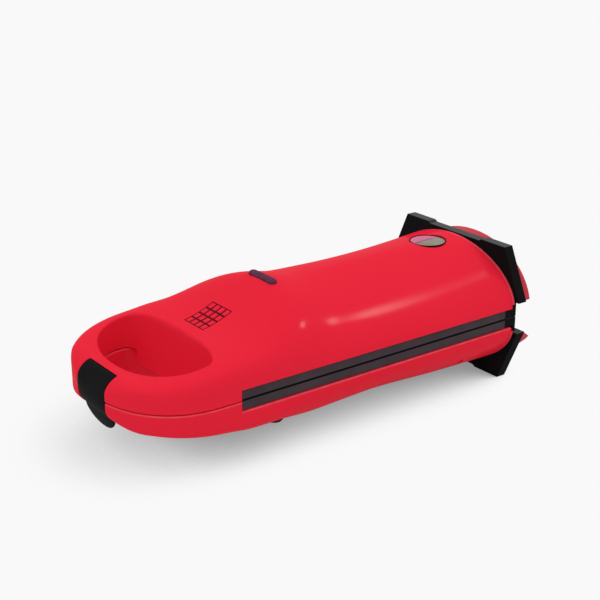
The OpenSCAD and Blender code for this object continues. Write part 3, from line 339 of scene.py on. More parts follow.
def cut(piece, cutter, how="DIFFERENCE"):
    """Cuts, joins or crops a piece with another solid, which is used up."""
    apply_modifier(piece, "BOOLEAN", operation=how, object=cutter, solver="EXACT")
    bpy.data.objects.remove(cutter)


def smooth(piece, angle=30):
    """Shades a piece smooth, and keeps corners over the angle sharp."""
    pick(piece)
    bpy.ops.object.shade_smooth_by_angle(angle=math.radians(angle))


# %% [markdown]
# ## Solids from points
#
# A loft closes a solid through a row of rings. Plain boxes and bars serve as cutters.


# %% Solids from points
def piece_from(name, points, faces):
    """A mesh object from points in mm in the working frame."""
    mesh = bpy.data.meshes.new(name)
    mesh.from_pydata([home(*p) for p in points], [], faces)
    piece = bpy.data.objects.new(name, mesh)
    bpy.context.scene.collection.objects.link(piece)
    return piece


def outward(piece):
    """Turns all faces of a closed piece outwards."""
    shape = bmesh.new()
    shape.from_mesh(piece.data)
    bmesh.ops.recalc_face_normals(shape, faces=shape.faces)
    if shape.calc_volume(signed=True) < 0:
        bmesh.ops.reverse_faces(shape, faces=shape.faces)
    shape.to_mesh(piece.data)
    shape.free()


def loft(name, rings):
    """A closed solid through rings of the same number of points."""
    count = len(rings[0])
    points = [p for ring in rings for p in ring]
    faces = []
    for i in range(len(rings) - 1):
        for j in range(count):
            k = (j + 1) % count
            faces.append((i * count + j, i * count + k, (i + 1) * count + k, (i + 1) * count + j))
    for ring, start in ((rings[0], 0), (rings[-1], (len(rings) - 1) * count)):
        middle = len(points)
        points.append([sum(p[axis] for p in ring) / count for axis in range(3)])
        faces += [(start + j, start + (j + 1) % count, middle) for j in range(count)]
    piece = piece_from(name, points, faces)
    outward(piece)
    return piece


def block(name, low, high):
    """A plain box to cut with, between two corners in mm."""
    bpy.ops.object.select_all(action="DESELECT")
    bpy.ops.mesh.primitive_cube_add(size=1)
    box = bpy.context.object
    box.name = name
    centre = home(*[(a + b) / 2 for a, b in zip(low, high)])
    for v in box.data.vertices:
        v.co = Vector([c + v.co[k] * (high[k] - low[k]) * MM for k, c in enumerate(centre)])
    return box


def rod(name, centre, radius, length, axis="Z", steps=64):
    """A round bar to cut with, centred in mm."""
    bpy.ops.object.select_all(action="DESELECT")
    bpy.ops.mesh.primitive_cylinder_add(radius=radius * MM, depth=length * MM, vertices=steps)
    bar = bpy.context.object
    bar.name = name
    for v in bar.data.vertices:
        x, y, z = v.co
        v.co = {"Z": (x, y, z), "X": (z, x, y), "Y": (y, z, x)}[axis]
        v.co = v.co + Vector(home(*centre))
    return bar


# %% [markdown]
# ## The shells' form
#
# Lid and base share their plan: a long domed body, and a flat handle with a rounded nose. Only their
# crown lines differ: the lid rises to a hump, the base's belly falls away evenly. Three rules give the
# form: the crown line in side view, the outline seen from above, and how square each cross section is.
# No primitive comes near it, so the skin is written as rings of points.

# %% Rules of the shells' form
# Seen from above: half width, where the nose starts to round, its length, its squareness and the rear end
HALF_WIDTH, NOSE_START, NOSE_LEN, NOSE_SQ, SHELL_END = 61.7, 12.0, 53.3, 2.35, 218.2
# Seen from the side: length and squareness of the nose's drop, and height of one plate frame
NOSE_DROP, DROP_SQ, BAND_H = 15.3, 2.2, 6.1
NOSE_Y = -NOSE_START - NOSE_LEN + NOSE_DROP
SIDE_RAMP = (-10, 10)  # where the upright part of the side grows from nothing to BAND_H
# Height of the crown over the seam, and squareness of the section, at places along the length
LID_LINE = [(-50, 15.1), (-28.15, 19.8), (-2.3, 24.3), (18.5, 29.15), (30, 34.25), (40, 39.2), (57, 45.6),
            (76, 42.95), (100, 41.7), (130, 42.3), (160, 42.65), (193.9, 43.25), (218.2, 44)]
BASE_LINE = [(-50, 15.1), (-28.15, 18.7), (-2.3, 23.2), (18.5, 27.9), (40, 34.9), (57, 39.1),
             (76, 39.9), (137.6, 41.8), (218.2, 44)]
LID_SQUARE = [(-50, 8.3), (-2.3, 6.0), (20, 3.55), (40, 2.57), (57, 1.93), (84, 1.76), (110, 1.65),
              (150, 1.59), (218.2, 1.9)]
BASE_SQUARE = [(-50, 8.3), (-2.3, 6.0), (20, 3.6), (57, 2.1), (84, 1.93), (110, 1.8),
               (150, 1.85), (218.2, 1.9)]
print("crown lines have", len(LID_LINE), "and", len(BASE_LINE), "points")

# %% [markdown]
# ## Soft lines
#
# A few points fix each line. Between them runs the line that bends least, a natural cubic spline, so the
# highlight on the lid glides without a kink.


# %% Soft lines through the points
def soft_line(points):
    """The smoothest line through the points, which gives a height at any place."""
    xs, zs = zip(*points)
    last = len(xs) - 1
    bend, share = [0.0] * (last + 1), [0.0] * (last + 1)
    for i in range(1, last):
        before, after = xs[i] - xs[i - 1], xs[i + 1] - xs[i]
        pivot = before * share[i - 1] + 2 * (before + after)
        turn = (zs[i + 1] - zs[i]) / after - (zs[i] - zs[i - 1]) / before
        share[i] = -after / pivot
        bend[i] = (6 * turn - before * bend[i - 1]) / pivot
    for i in range(last - 1, 0, -1):
        bend[i] += share[i] * bend[i + 1]

    def at(x):
        x = min(max(x, xs[0]), xs[-1])
        k = min(max(i for i in range(last + 1) if xs[i] <= x), last - 1)
        h = xs[k + 1] - xs[k]
        a = (xs[k + 1] - x) / h
        b = 1 - a
        return a * zs[k] + b * zs[k + 1] + ((a**3 - a) * bend[k] + (b**3 - b) * bend[k + 1]) * h * h / 6

    return at


crown_lines = {1: soft_line(LID_LINE), -1: soft_line(BASE_LINE)}
square_lines = {1: soft_line(LID_SQUARE), -1: soft_line(BASE_SQUARE)}
print("squareness at the hump:", [round(square_lines[flip](57), 2) for flip in (1, -1)])

# %% [markdown]
# ## The rules as functions
#
# With flip at 1 they speak of the lid, with flip at -1 of the base. Heights are counted from the seam.


# %% Rules as functions
def squareness(y, flip=1):
    """How square the section is."""
    return square_lines[flip](y)


def crown(y, flip=1):
    """How far the crown of the lid, or the belly of the base, is from the seam."""
    if y >= NOSE_Y:
        return crown_lines[flip](y)
    return LID_LINE[0][1] * max(0, 1 - ((NOSE_Y - y) / NOSE_DROP) ** DROP_SQ) ** (1 / DROP_SQ)


def half_width(y, inset=0.0):
    """Half width of the shell at y."""
    if y >= -NOSE_START:
        return HALF_WIDTH - inset
    share = (-y - NOSE_START) / (NOSE_LEN - inset)
    return (HALF_WIDTH - inset) * max(0, 1 - share**NOSE_SQ) ** (1 / NOSE_SQ)


def side_height(y):
    """Height up to which the side stands upright."""
    s = min(1, max(0, (y - SIDE_RAMP[0]) / (SIDE_RAMP[1] - SIDE_RAMP[0])))
    return BAND_H * s * s * (3 - 2 * s)


def roof(x, y, flip=1):
    """How far a shell's surface is from the seam at a place seen from above."""
    w, side, top, n = half_width(y), side_height(y), crown(y, flip), squareness(y, flip)
    return side + (top - side) * max(0, 1 - min(1, abs(x) / w) ** n) ** (1 / n)


print("crown heights at the hump:", [round(crown(57, flip), 1) for flip in (1, -1)])

# %% [markdown]
# ## The smooth skins
#
# Each ring runs from the lower edge over the crown to the other lower edge. The edge itself is rounded,
# and stops a little short of the seam, which gives the joint its dark line and its bright rim; on the base
# that rim's brightness is also a painted highlight.

# %% Skins of the shells
EDGE_R, REAR_R = 0.8, 0.9  # radius of the seam edge and of the rear edge
SEAM = 0.28  # half of the gap between lid and base
RIM_STRIP = 2.2  # width of the strip round the rear edge that is painted paler, a painted highlight
APRON_X, APRON_DROP = 39.3, 8.0  # half width and depth of the apron, which hangs from the lid into the base
LOW_ROWS = [SEAM, 0.32, 0.45, 0.68, 1.08]  # heights of the rows on the rounded seam edge
ROWS_END = 1.3  # height from which the rows follow the section's angle
REAR_ANGLES = (25, 50, 70, 90)  # steps of the rounded rear edge


def edge_in(z):
    """How far the rounded lower edge is drawn in at height z."""
    t = (SEAM + EDGE_R - z) / EDGE_R
    return EDGE_R * (1 - math.sqrt(max(0, 1 - t * t))) if t > 0 else 0.0


def skin_ring(y, w, top, steps, rounded, flip):
    """One ring of a skin, from +x over the crown to -x."""
    side, n = side_height(y), squareness(y, flip)

    def at(a):
        c, s = math.cos(a), math.sin(a)
        r = (abs(c) ** n + abs(s) ** n) ** (-1 / n)
        return w * r * c, side + (top - side) * r * s

    first = 0.0
    if side < ROWS_END:
        low, high = 0.0, math.pi / 2
        for _ in range(30):
            first = (low + high) / 2
            if at(first)[1] < ROWS_END:
                low = first
            else:
                high = first
    half = []
    for z in (LOW_ROWS if rounded else [-APRON_DROP - 1]):
        x = w if z <= side else w * max(0, 1 - ((z - side) / (top - side)) ** n) ** (1 / n)
        half.append((x, z))
    half += [at(first + (math.pi / 2 - first) * k / steps) for k in range(steps + 1)]
    half[-1] = (0.0, top)
    if rounded and y < -NOSE_START:
        d = 0.05
        lean = (half_width(y + d) - half_width(y - d)) / (2 * d)
    else:
        lean = 0.0
    size = math.hypot(1, lean)
    right = []
    for x, z in half:
        e = edge_in(z) if rounded else 0.0
        right.append((max(x - e / size, 0.02), y + e * lean / size, z))
    left = [(-x, yy, z) for x, yy, z in reversed(right[:-1])]
    right[-1] = (0.0, y, half[-1][1])
    return right + left


def skin(name, inset=0.0, nose=24, body=92, steps=30, flip=1):
    """A closed skin of a shell, drawn in by an inset; a core also runs out behind."""
    rounded = inset == 0
    end = SHELL_END if rounded else SHELL_END + 3
    ys = [-NOSE_START - (NOSE_LEN - inset) * math.cos(math.radians(4 + 86 * k / nose)) ** (2 / NOSE_SQ)
          for k in range(nose)]
    ys += [-NOSE_START + (NOSE_START + end - (REAR_R if rounded else 0)) * k / body for k in range(body + 1)]
    if rounded:
        ys.insert(-1, end - RIM_STRIP)
    rings = [skin_ring(y, half_width(y, inset), crown(y, flip) - inset, steps, rounded, flip) for y in ys]
    if rounded:
        for a in REAR_ANGLES:
            y, e = end - REAR_R * (1 - math.sin(math.radians(a))), REAR_R * (1 - math.cos(math.radians(a)))
            rings.append(skin_ring(y, half_width(y) - e, crown(y, flip) - e, steps, True, flip))
    if flip < 0:
        rings = [[(x, y, -z) for x, y, z in ring] for ring in rings]
    return loft(name, rings)


print("seam edge drawn in by", round(edge_in(SEAM), 2), "mm at its foot")

# %% [markdown]
# ## The finger hole
#
# The hole is wide and short, with a back wall that slopes like a scoop. The tool that cuts it follows
# the hole's outline, and flares at the top, so that the cut leaves a rounded rim all the way round.

# %% Cutter of the finger hole
# Widest place, half width there, and reach to the front and to the back at the seam
HOLE_Y, HOLE_HW, HOLE_FRONT, HOLE_BACK = -17.3, 47.3, 30.8, 8.3
SCOOP_REACH, SCOOP_TOP = 15, 24.3  # reach to the back at the height where the scoop meets the crown
BASE_SET_BACK = 3.4  # how much further back the base's hole reaches, which leaves room for the apron
FLARE, GRIP_TOP, NOSE_TOP = 0.7, 19.8, 15.1  # widening, and the crown's height at the side and in front
FRONT_SQ, BACK_SQ = 2.2, 2.7  # squareness of the outline's front and back half
HOLE_RIM, CORE_RIM = 1.3, 0.4  # radius of the hole's upper edge, on the skin and on its hollow core
OVER_CROWN = 40.0  # height at which the cutter ends, above every crown


def hole_point(t, z, grow=0.0, back=HOLE_BACK):
    """A point of the hole's outline at height z and angle t; below the seam the scoop slopes on."""
    a = HOLE_HW + grow + FLARE * abs(z) / GRIP_TOP
    front = HOLE_FRONT + grow + FLARE * abs(z) / NOSE_TOP
    rear = back + grow + (SCOOP_REACH - back) * z / SCOOP_TOP
    c, s = math.cos(t), math.sin(t)
    q = FRONT_SQ if s < 0 else BACK_SQ
    reach = front if s < 0 else rear
    return (a * math.copysign(abs(c) ** (2 / q), c),
            HOLE_Y + math.copysign(reach * abs(s) ** (2 / q), s), z)


def hole_side(t, z, grow, back):
    """Outward direction of the hole's outline seen from above."""
    x0, y0, _ = hole_point(t - 0.002, z, grow, back)
    x1, y1, _ = hole_point(t + 0.002, z, grow, back)
    size = math.hypot(x1 - x0, y1 - y0)
    return (y1 - y0) / size, (x0 - x1) / size


# %% [markdown]
# ## The hole's solid
#
# One column of points stands at each angle of the outline. It starts with the rounded edge at the seam,
# climbs to the crown, bends outwards there to leave the rounded rim, and ends above the lid.


# %% Solid of the finger hole
def hole_cutter(name, grow=0.0, back=HOLE_BACK, rim=HOLE_RIM, flip=1, count=120):
    """The hole's solid; rim is the radius of the upper edge it leaves. On the lid it keeps the apron."""
    columns = []
    for j in range(count):
        t = 2 * math.pi * (j + 0.5) / count
        top = 20.0
        for _ in range(12):
            x, y, _z = hole_point(t, top, grow, back)
            top = roof(x, y, flip)
        column = [(0, -3.0), (0, SEAM - 0.05)]
        for b in (10, 35, 60, 90):
            column.append((EDGE_R * (1 - math.sin(math.radians(b))),
                           SEAM + EDGE_R * (1 - math.cos(math.radians(b)))))
        x, y, _z = hole_point(t, 0, grow, back)
        if flip > 0 and y > HOLE_Y and abs(x) < APRON_X + 1.5:
            column = [(0, z) for z in (-APRON_DROP - 3, -6, -4, -2, -0.5, 0.5)]
        else:
            column[0] = (column[2][0], -APRON_DROP - 3)
            column[1] = (column[2][0], SEAM - 0.05)
        column += [(0, top * f) for f in (0.25, 0.5, 0.75)]
        column += [(0, top - 1.6 * rim)]
        rim_start = len(column)
        for b in (0, 14, 28, 42, 56, 70):
            column.append((rim * (1 - math.cos(math.radians(b))),
                           top - rim + rim * math.sin(math.radians(b))))
        rim_end = len(column)
        far = column[-1]
        column.append((far[0] + 2.5, far[1] + 1.4))
        column.append((far[0] + 2.5, OVER_CROWN))
        points = []
        for i, (out, z) in enumerate(column):
            level = min(z, top)
            if column[1][0] > 0:
                level = max(0, level)
            x, y, _z = hole_point(t, level, grow, back)
            nx, ny = hole_side(t, level, grow, back)
            px, py = x + nx * out, y + ny * out
            if rim_start <= i < rim_end:
                z += roof(px, py, flip) - top
            points.append((px, py, z * flip))
        columns.append(points)
    return loft(name, list(zip(*columns)))


hole_size = (HOLE_HW * 2, HOLE_FRONT + HOLE_BACK)
print("finger hole at the seam in mm:", [round(v, 1) for v in hole_size])


# %% [markdown]
# ## What both shells share
#
# A skin is hollowed by a second skin drawn in by the wall's thickness. Then come the slot for the plate
# frame, a notch at each rear corner and the finger hole. At last the rims get a paler red, a painted
# highlight.

# %% Shared cuts of both shells
WALL = 2.4
NOTCH_L, NOTCH_H = 2.8, 3.5
SLOT_GAP, SLOT_HW, CHAMFER = 0.4, 60.8, 2.6  # the gap round the frame, where the chamfer starts, its reach
BEYOND_HW, BEYOND_END, OVER_SEAM = 63.5, 230, -3.0  # past the shell's side and end, and past the seam


def band_slot(name, flip):
    """A slot behind y = 0 up to the band's height, with a small chamfer where it meets the outside."""
    rings = []
    for x, g in ((-BEYOND_HW, CHAMFER), (-SLOT_HW, SLOT_GAP), (SLOT_HW, SLOT_GAP), (BEYOND_HW, CHAMFER)):
        corners = [(x, -g, OVER_SEAM), (x, -g, BAND_H + g), (x, BEYOND_END, BAND_H + g),
                   (x, BEYOND_END, OVER_SEAM)]
        rings.append([(a, b, c * flip) for a, b, c in corners])
    return loft(name, rings)


def hollow_shell(name, flip, back):
    """The outer skin, hollowed, with its finger hole and its slot for the plate frame."""
    shell = skin(name, flip=flip)
    if flip > 0:
        cut(shell, block("apron", (-APRON_X, -16, -APRON_DROP), (APRON_X, -2, 2)), "UNION")
    core = skin("core", WALL, 10, 30, 14, flip)
    cut(core, hole_cutter("core_hole", WALL, back, CORE_RIM, flip, 60))
    cut(shell, core)
    cut(shell, band_slot("slot", flip))
    for side in (-1, 1):
        low, high = sorted((side * 55, side * 66))
        heights = sorted((flip * 2, flip * (BAND_H + NOTCH_H)))
        cut(shell, block("notch", (low, SHELL_END - NOTCH_L, heights[0]),
                         (high, SHELL_END + 4, heights[1])))
    cut(shell, hole_cutter("hole", 0.0, back, HOLE_RIM, flip))
    return shell


def paint_rim_highlights(shell, flip):
    """Gives the rims' faces a paler red, a painted highlight, told by place and by how far they rise towards
    the crown.
    """
    shell.data.materials.append(rim_painted_highlight)
    count = 0
    for face in shell.data.polygons:
        x, y, z = face.center / MM
        y, z = y + MID, (z - REST) * flip
        nx, ny, nz = face.normal
        rise = nz * flip
        seam_edge = y < 0.5 and z < SEAM + 0.8 * EDGE_R and -0.97 < rise < -0.2
        slot_edge = y > 0 and abs(x) > 60.7 and BAND_H - 0.1 < z < BAND_H + 1.3 and -0.95 < rise < -0.3
        rear_edge = y > SHELL_END - RIM_STRIP and ny < 0.95 and z > BAND_H + 0.5 and x * nx + z * rise > 0
        # Rim faces get the paler red, a painted highlight.
        if rear_edge or (flip < 0 and (seam_edge or slot_edge)):
            face.material_index = 1
            count += 1
    print(shell.name, "rim faces:", count)


def capsule(name, centre, length, width, low, high, steps=24):
    """A capsule seen from above, as a solid to cut with."""
    r = width / 2
    outline = []
    for side in (1, -1):
        for k in range(steps + 1):
            a = -math.pi / 2 + math.pi * k / steps
            outline.append((side * (length / 2 - r + r * math.cos(a)), side * r * math.sin(a)))
    rings = [[(centre[0] + x, centre[1] + y, z) for x, y in outline] for z in (low, high)]
    return loft(name, rings)


print("wall of both shells in mm:", WALL)

# %% [markdown]
# ## Lid shell
#
# After the shared cuts come the window of the clip, with round room for its barrel, then the round window
# of the lamps and the pocket of the pad on the hump.

# %% Lid shell
PIVOT_Y, PIVOT_Z, BARREL_R = -56.6, 10.6, 3.6  # axis and radius of the clip's barrel
CLIP_ROOM_HW, BARREL_ROOM_R, FAR_FRONT = 16.45, 4.05, -75
CLIP_ROOM_BACK, CLIP_ROOM_STEP, CLIP_ROOM_TOP = -52.5, 9.6, 26  # deep below the barrel, shallow above it
LENS_Y, LENS_R = 193.9, 12.6
HUMP_Y, PAD_L, PAD_W, PAD_FLOOR = 57, 26, 6, 44.4

lid_skin = hollow_shell("lid_shell_skin", 1, HOLE_BACK)
cut(lid_skin, block("clip_window_low", (-CLIP_ROOM_HW, FAR_FRONT, -2),
                    (CLIP_ROOM_HW, CLIP_ROOM_BACK, PIVOT_Z)))
cut(lid_skin, block("clip_window_high", (-CLIP_ROOM_HW, FAR_FRONT, CLIP_ROOM_STEP),
                    (CLIP_ROOM_HW, PIVOT_Y, CLIP_ROOM_TOP)))
cut(lid_skin, rod("clip_barrel_room", (0, PIVOT_Y, PIVOT_Z), BARREL_ROOM_R, 2 * CLIP_ROOM_HW, "X"))
cut(lid_skin, rod("round_window", (0, LENS_Y, 45), LENS_R, 30))
cut(lid_skin, capsule("pad_pocket", (0, HUMP_Y), PAD_L, PAD_W, PAD_FLOOR, 60))
smooth(lid_skin)
dress(lid_skin, red_plastic)
paint_rim_highlights(lid_skin, 1)
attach(lid_skin, "lid")
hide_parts("lid_shell")
print("lid shell faces:", len(lid_skin.data.polygons))

# %% [markdown]
# ## Base shell
#
# The base follows the lid's outline below the seam. It has no round window; its screws go in from below,
# through deep wells whose rims just show at the edge of the belly.

# %% Base shell
FOOT_L, FOOT_W, FOOT_ROOT = 34, 11, -37.2
WELL_XS, WELL_YS, WELL_R, WELL_Z, WELL_L = (-51, 51), (31, 178.5), 3.05, -34.5, 30
BASE_ROOM_BACK, BASE_ROOM_LOW = -56, -26  # the clip's room in the base

base_skin = hollow_shell("base_shell_skin", -1, HOLE_BACK + BASE_SET_BACK)
cut(base_skin, block("clip_window", (-CLIP_ROOM_HW, FAR_FRONT, BASE_ROOM_LOW),
                     (CLIP_ROOM_HW, BASE_ROOM_BACK, 2)))
cut(base_skin, capsule("foot_pocket", (0, HUMP_Y), FOOT_L, FOOT_W, -60, FOOT_ROOT))
for x in WELL_XS:
    for y in WELL_YS:
        cut(base_skin, rod("screw_well", (x, y, WELL_Z), WELL_R, WELL_L, "Z", 40))
smooth(base_skin)
dress(base_skin, red_plastic)
paint_rim_highlights(base_skin, -1)
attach(base_skin, "base")
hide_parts("base_shell")
print("base shell faces:", len(base_skin.data.polygons))

# %% [markdown]
# ## CAD nodes that stay
#
# Wings, frames, plates, screws and covers already have their true shape. They get a finish, and a small
# bevel on the moulded ones, because no real edge is perfectly sharp.

# %% Finishes and soft edges on the CAD nodes
FINISH = {
    "red_plastic": red_plastic, "black_plastic": black_plastic, "grey_plastic": grey_plastic,
    "coated_aluminium": coat, "bare_aluminium": sheet_metal, "heater_sheath": sheath, "steel": zinc,
    "dark_rubber": rubber, "white_plastic": white_plastic, "lamp_glass": lamp_glass,
}
slot_of = {row["node"]: row["material_slot"] for row in frame["record"]["subparts"]}


def soften(node, width, steps=2):
    """Welds the node's faces together and rounds its corners by width mm."""
    weld = node.modifiers.new("weld", "WELD")
    weld.merge_threshold = 0.00001
    bevel = node.modifiers.new("soft_edges", "BEVEL")
    bevel.width = width * MM
    bevel.segments = steps
    bevel.limit_method = "ANGLE"
    bevel.angle_limit = math.radians(35)
    bevel.harden_normals = True


for name, node in nodes.items():
    if slot_of[name] in FINISH:
        dress(node, FINISH[slot_of[name]])
for name, finish in (("lid_wing", wing_plastic), ("base_wing", wing_plastic),
                     ("lid_rear_cover", satin_red_painted_shade), ("base_rear_cover", satin_red_painted_shade)):
    dress(nodes[name], finish)
for name, width in (("lid_wing", 0.5), ("base_wing", 0.5), ("lid_frame", 0.5), ("base_frame", 0.5),
                    ("upper_plate", 0.35), ("lower_plate", 0.35)):
    soften(nodes[name], width)
print("CAD nodes with a finish:", len(nodes))

# %% [markdown]
# ## The front clip
#
# The clip is a black strap over the nose. It turns on a pin inside the lid, lies flush with the nose,
# folds under its lower edge and ends in a rounded thumb lip. Its profile is drawn once in side view
# and carried across; the lip gets shorter towards the sides, which gives the tongue its round end.

# %% Profile of the front clip
CLIP_HW, CLIP_T, PROUD = 16.0, 2.3, 0.3  # half width, wall and how far it stands proud of the nose
FOLD, LIP_LEN, LIP_LEAN = 11.6, 10.4, 3.4  # depth of the fold below the seam, then the lip's length and lean
OUTER_STEPS, LIP_STEPS, INNER_STEPS, STATIONS = 30, 8, 20, 32


def nose_point(a, p):
    """The nose line in side view at angle a, grown outwards by p."""
    return (NOSE_Y - (NOSE_DROP + p) * math.cos(a) ** (2 / DROP_SQ),
            (LID_LINE[0][1] + p) * math.copysign(abs(math.sin(a)) ** (2 / DROP_SQ), a))


def nose_angle(z, p):
    """The angle at which the grown nose line is at height z."""
    return math.copysign(math.asin((abs(z) / (LID_LINE[0][1] + p)) ** (DROP_SQ / 2)), z)


def nose_back(x):
    """How far the nose's outline has drawn back from its tip at x."""
    return NOSE_LEN * (1 - (1 - (abs(x) / HALF_WIDTH) ** NOSE_SQ) ** (1 / NOSE_SQ))


def clip_ring(x):
    """The clip's closed profile at x, round from the barrel's top over the outside and back inside."""
    back = nose_back(x)
    start, fold_a = nose_angle(PIVOT_Z + BARREL_R * 0.96, PROUD), nose_angle(-FOLD, PROUD)
    outer = [nose_point(start + (fold_a - start) * k / OUTER_STEPS, PROUD) for k in range(OUTER_STEPS + 1)]
    outer = [(y + back * min(1, max(0, (6 - z) / 6 + 0.4)), z) for y, z in outer]
    fold_y = outer[-1][0]
    reach = max(0.35, LIP_LEN * math.sqrt(max(0, 1 - (x / (CLIP_HW + 0.3)) ** 2)))
    lip = [(fold_y + LIP_LEAN * (reach * k / LIP_STEPS / LIP_LEN) ** 1.4, -FOLD - reach * k / LIP_STEPS)
           for k in range(1, LIP_STEPS + 1)]
    tip_y, tip_z = lip[-1]
    tip = [(tip_y + 0.5, tip_z - 0.35), (tip_y + 1.2, tip_z - 0.3), (tip_y + 1.7, tip_z + 0.2)]
    lip_back = [(y + 1.8 + 0.3 * k / LIP_STEPS, z + 0.6)
                for k, (y, z) in reversed(list(enumerate(lip[:-1])))]
    inner_p = PROUD - CLIP_T
    low, high = nose_angle(-FOLD + 2.4, inner_p), nose_angle(PIVOT_Z, inner_p)
    inner = [nose_point(low + (high - low) * k / INNER_STEPS, inner_p) for k in range(INNER_STEPS + 1)]
    barrel = []
    for b in (*range(200, 420, 20), 75, 90):
        b = math.radians(b)
        barrel.append((PIVOT_Y + BARREL_R * math.cos(b), PIVOT_Z + BARREL_R * math.sin(b)))
    return [(x, y, z) for y, z in outer + lip + tip + lip_back + inner + barrel]


# %% [markdown]
# ## The strap
#
# The profiles stand closer together towards the clip's sides, where its outline bends most. A small
# bevel takes the sharpness off its edges.

# %% Strap of the clip
stations = [-CLIP_HW * math.cos(math.pi * k / STATIONS) for k in range(STATIONS + 1)]
clip = loft("front_clip_strap", [clip_ring(x) for x in stations])
cut(clip, rod("pin_bore", (0, PIVOT_Y, PIVOT_Z), 1.55, 40, "X", 40))
apply_modifier(clip, "BEVEL", width=0.45 * MM, segments=3, limit_method="ANGLE", angle_limit=math.radians(50))
smooth(clip, 40)
dress(clip, black_plastic)
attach(clip, "clip")
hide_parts("front_clip")
print("clip faces:", len(clip.data.polygons))

# %% [markdown]
# ## The sign on the ramp
#
# A small dark sign on the ramp shows what the iron makes. It is a plain square slice with four by four
# cells, seen from above. A grid is inset, its cells are taken out, and the lattice that is left is laid
# on the lid's skin and given the thickness of a printed line.

# %% Waffle sign
SIGN_SIZE, SIGN_Y, SIGN_LINE, SIGN_T = 21, 16.5, 0.55, 0.12

bpy.ops.object.select_all(action="DESELECT")
bpy.ops.mesh.primitive_grid_add(x_subdivisions=4, y_subdivisions=4, size=SIGN_SIZE * MM,
                                location=home(0, SIGN_Y, 45))
sign = bpy.context.object
sign.name = "waffle_sign"
bpy.ops.object.mode_set(mode="EDIT")
bpy.ops.mesh.select_all(action="SELECT")
bpy.ops.mesh.inset(thickness=SIGN_LINE * MM, use_individual=True)
bpy.ops.mesh.delete(type="FACE")
bpy.ops.mesh.select_all(action="SELECT")
bpy.ops.mesh.subdivide(number_cuts=4)
bpy.ops.object.mode_set(mode="OBJECT")
bpy.ops.object.transform_apply(location=True, rotation=True, scale=True)
apply_modifier(sign, "SHRINKWRAP", target=lid_skin, wrap_method="PROJECT", use_project_z=True,
               use_negative_direction=True, use_positive_direction=False, offset=0.0)
apply_modifier(sign, "SOLIDIFY", thickness=SIGN_T * MM, offset=1.0)
smooth(sign)
ink, ink_shader = new_finish("sign_ink", (0.10, 0.004, 0.012), 0.4, shine=0, coat=0.05)
vary_colour(ink, ink_shader, noise(ink, 900, 3), (0.07, 0.003, 0.009), (0.14, 0.006, 0.016))
vary_gloss(ink, ink_shader, noise(ink, 1500, 2), 0.32, 0.5)
dress(sign, ink)
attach(sign, "lid")
print("sign faces:", len(sign.data.polygons))

# %% [markdown]
# ## The round window
#
# Two lamps shine through two tinted halves: pink on the far side and grey-green on the near side. Both
# are glossy, and their tone changes softly across the window.


# %% Finishes of the two lens halves
def lens_finish(name, low, high):
    """A glossy tinted plastic that goes from one tone to another across the window."""
    finish, shader = new_finish(name, high, 0.12, shine=0, coat=0.2, coat_rough=0.08)
    vary_colour(finish, shader, noise(finish, 60, 1), low, high)
    vary_gloss(finish, shader, noise(finish, 200, 2), 0.08, 0.16)
    return finish


dress(nodes["power_lens"], lens_finish("pink_lens", (0.46, 0.14, 0.28), (0.70, 0.16, 0.28)))
dress(nodes["ready_lens"], lens_finish("grey_green_lens", (0.23, 0.19, 0.13), (0.33, 0.30, 0.24)))
print("lens finishes:", [nodes[n].data.materials[0].name for n in ("power_lens", "ready_lens")])

# %% [markdown]
# ## Floor
#
# The object stands in soft studio light on a white floor. What the camera, gloss and glass see of the
# floor is the backdrop's pale tone, so the horizon disappears. That tone is shaded by how much of the
# light's side the object hides, which keeps a soft grey shadow.

# %% Floor
PALE = 0.947
SHADE_FROM, SHADE_REACH = (0.44, 0.37, 0.82), 0.2  # side of the shadow's light, and reach in metres
SHADE_SPAN, SHADE_DEEPEST = (0.1, 0.8), 0.25  # shares of open sky it fades between, and its darkest tone


def seen_by_eye(tree):
    """1 for rays of the camera, of gloss and of glass, 0 for the rays that carry light."""
    path = tree.nodes.new("ShaderNodeLightPath")
    fac = path.outputs["Is Camera Ray"]
    for kind in ("Is Glossy Ray", "Is Transmission Ray"):
        step = tree.nodes.new("ShaderNodeMath")
        step.operation = "MAXIMUM"
        tree.links.new(fac, step.inputs[0])
        tree.links.new(path.outputs[kind], step.inputs[1])
        fac = step.outputs[0]
    return fac


bpy.ops.object.select_all(action="DESELECT")
bpy.ops.mesh.primitive_plane_add(size=6)
floor = bpy.context.object
floor.name = "studio_floor"
floor_finish, floor_shader = new_finish("pale_floor", (0.84, 0.84, 0.85), 0.7, shine=0.0)
ground = floor_finish.node_tree
hidden = ground.nodes.new("ShaderNodeAmbientOcclusion")
hidden.samples = 24
hidden.inputs["Distance"].default_value = SHADE_REACH
side = ground.nodes.new("ShaderNodeCombineXYZ")
for k, share in enumerate(SHADE_FROM):
    side.inputs[k].default_value = share
depth = ground.nodes.new("ShaderNodeMapRange")
depth.interpolation_type = "SMOOTHSTEP"
depth.inputs["From Min"].default_value = SHADE_SPAN[0]
depth.inputs["From Max"].default_value = SHADE_SPAN[1]
depth.inputs["To Min"].default_value = SHADE_DEEPEST * PALE
depth.inputs["To Max"].default_value = PALE
pale = ground.nodes.new("ShaderNodeEmission")
choose = ground.nodes.new("ShaderNodeMixShader")
ground.links.new(side.outputs[0], hidden.inputs["Normal"])
ground.links.new(hidden.outputs["AO"], depth.inputs["Value"])
ground.links.new(depth.outputs["Result"], pale.inputs["Strength"])
ground.links.new(seen_by_eye(ground), choose.inputs["Fac"])
ground.links.new(floor_shader.outputs[0], choose.inputs[1])
ground.links.new(pale.outputs[0], choose.inputs[2])
ground.links.new(choose.outputs[0], ground.nodes["Material Output"].inputs["Surface"])
dress(floor, floor_finish)
print("floor tone:", PALE)

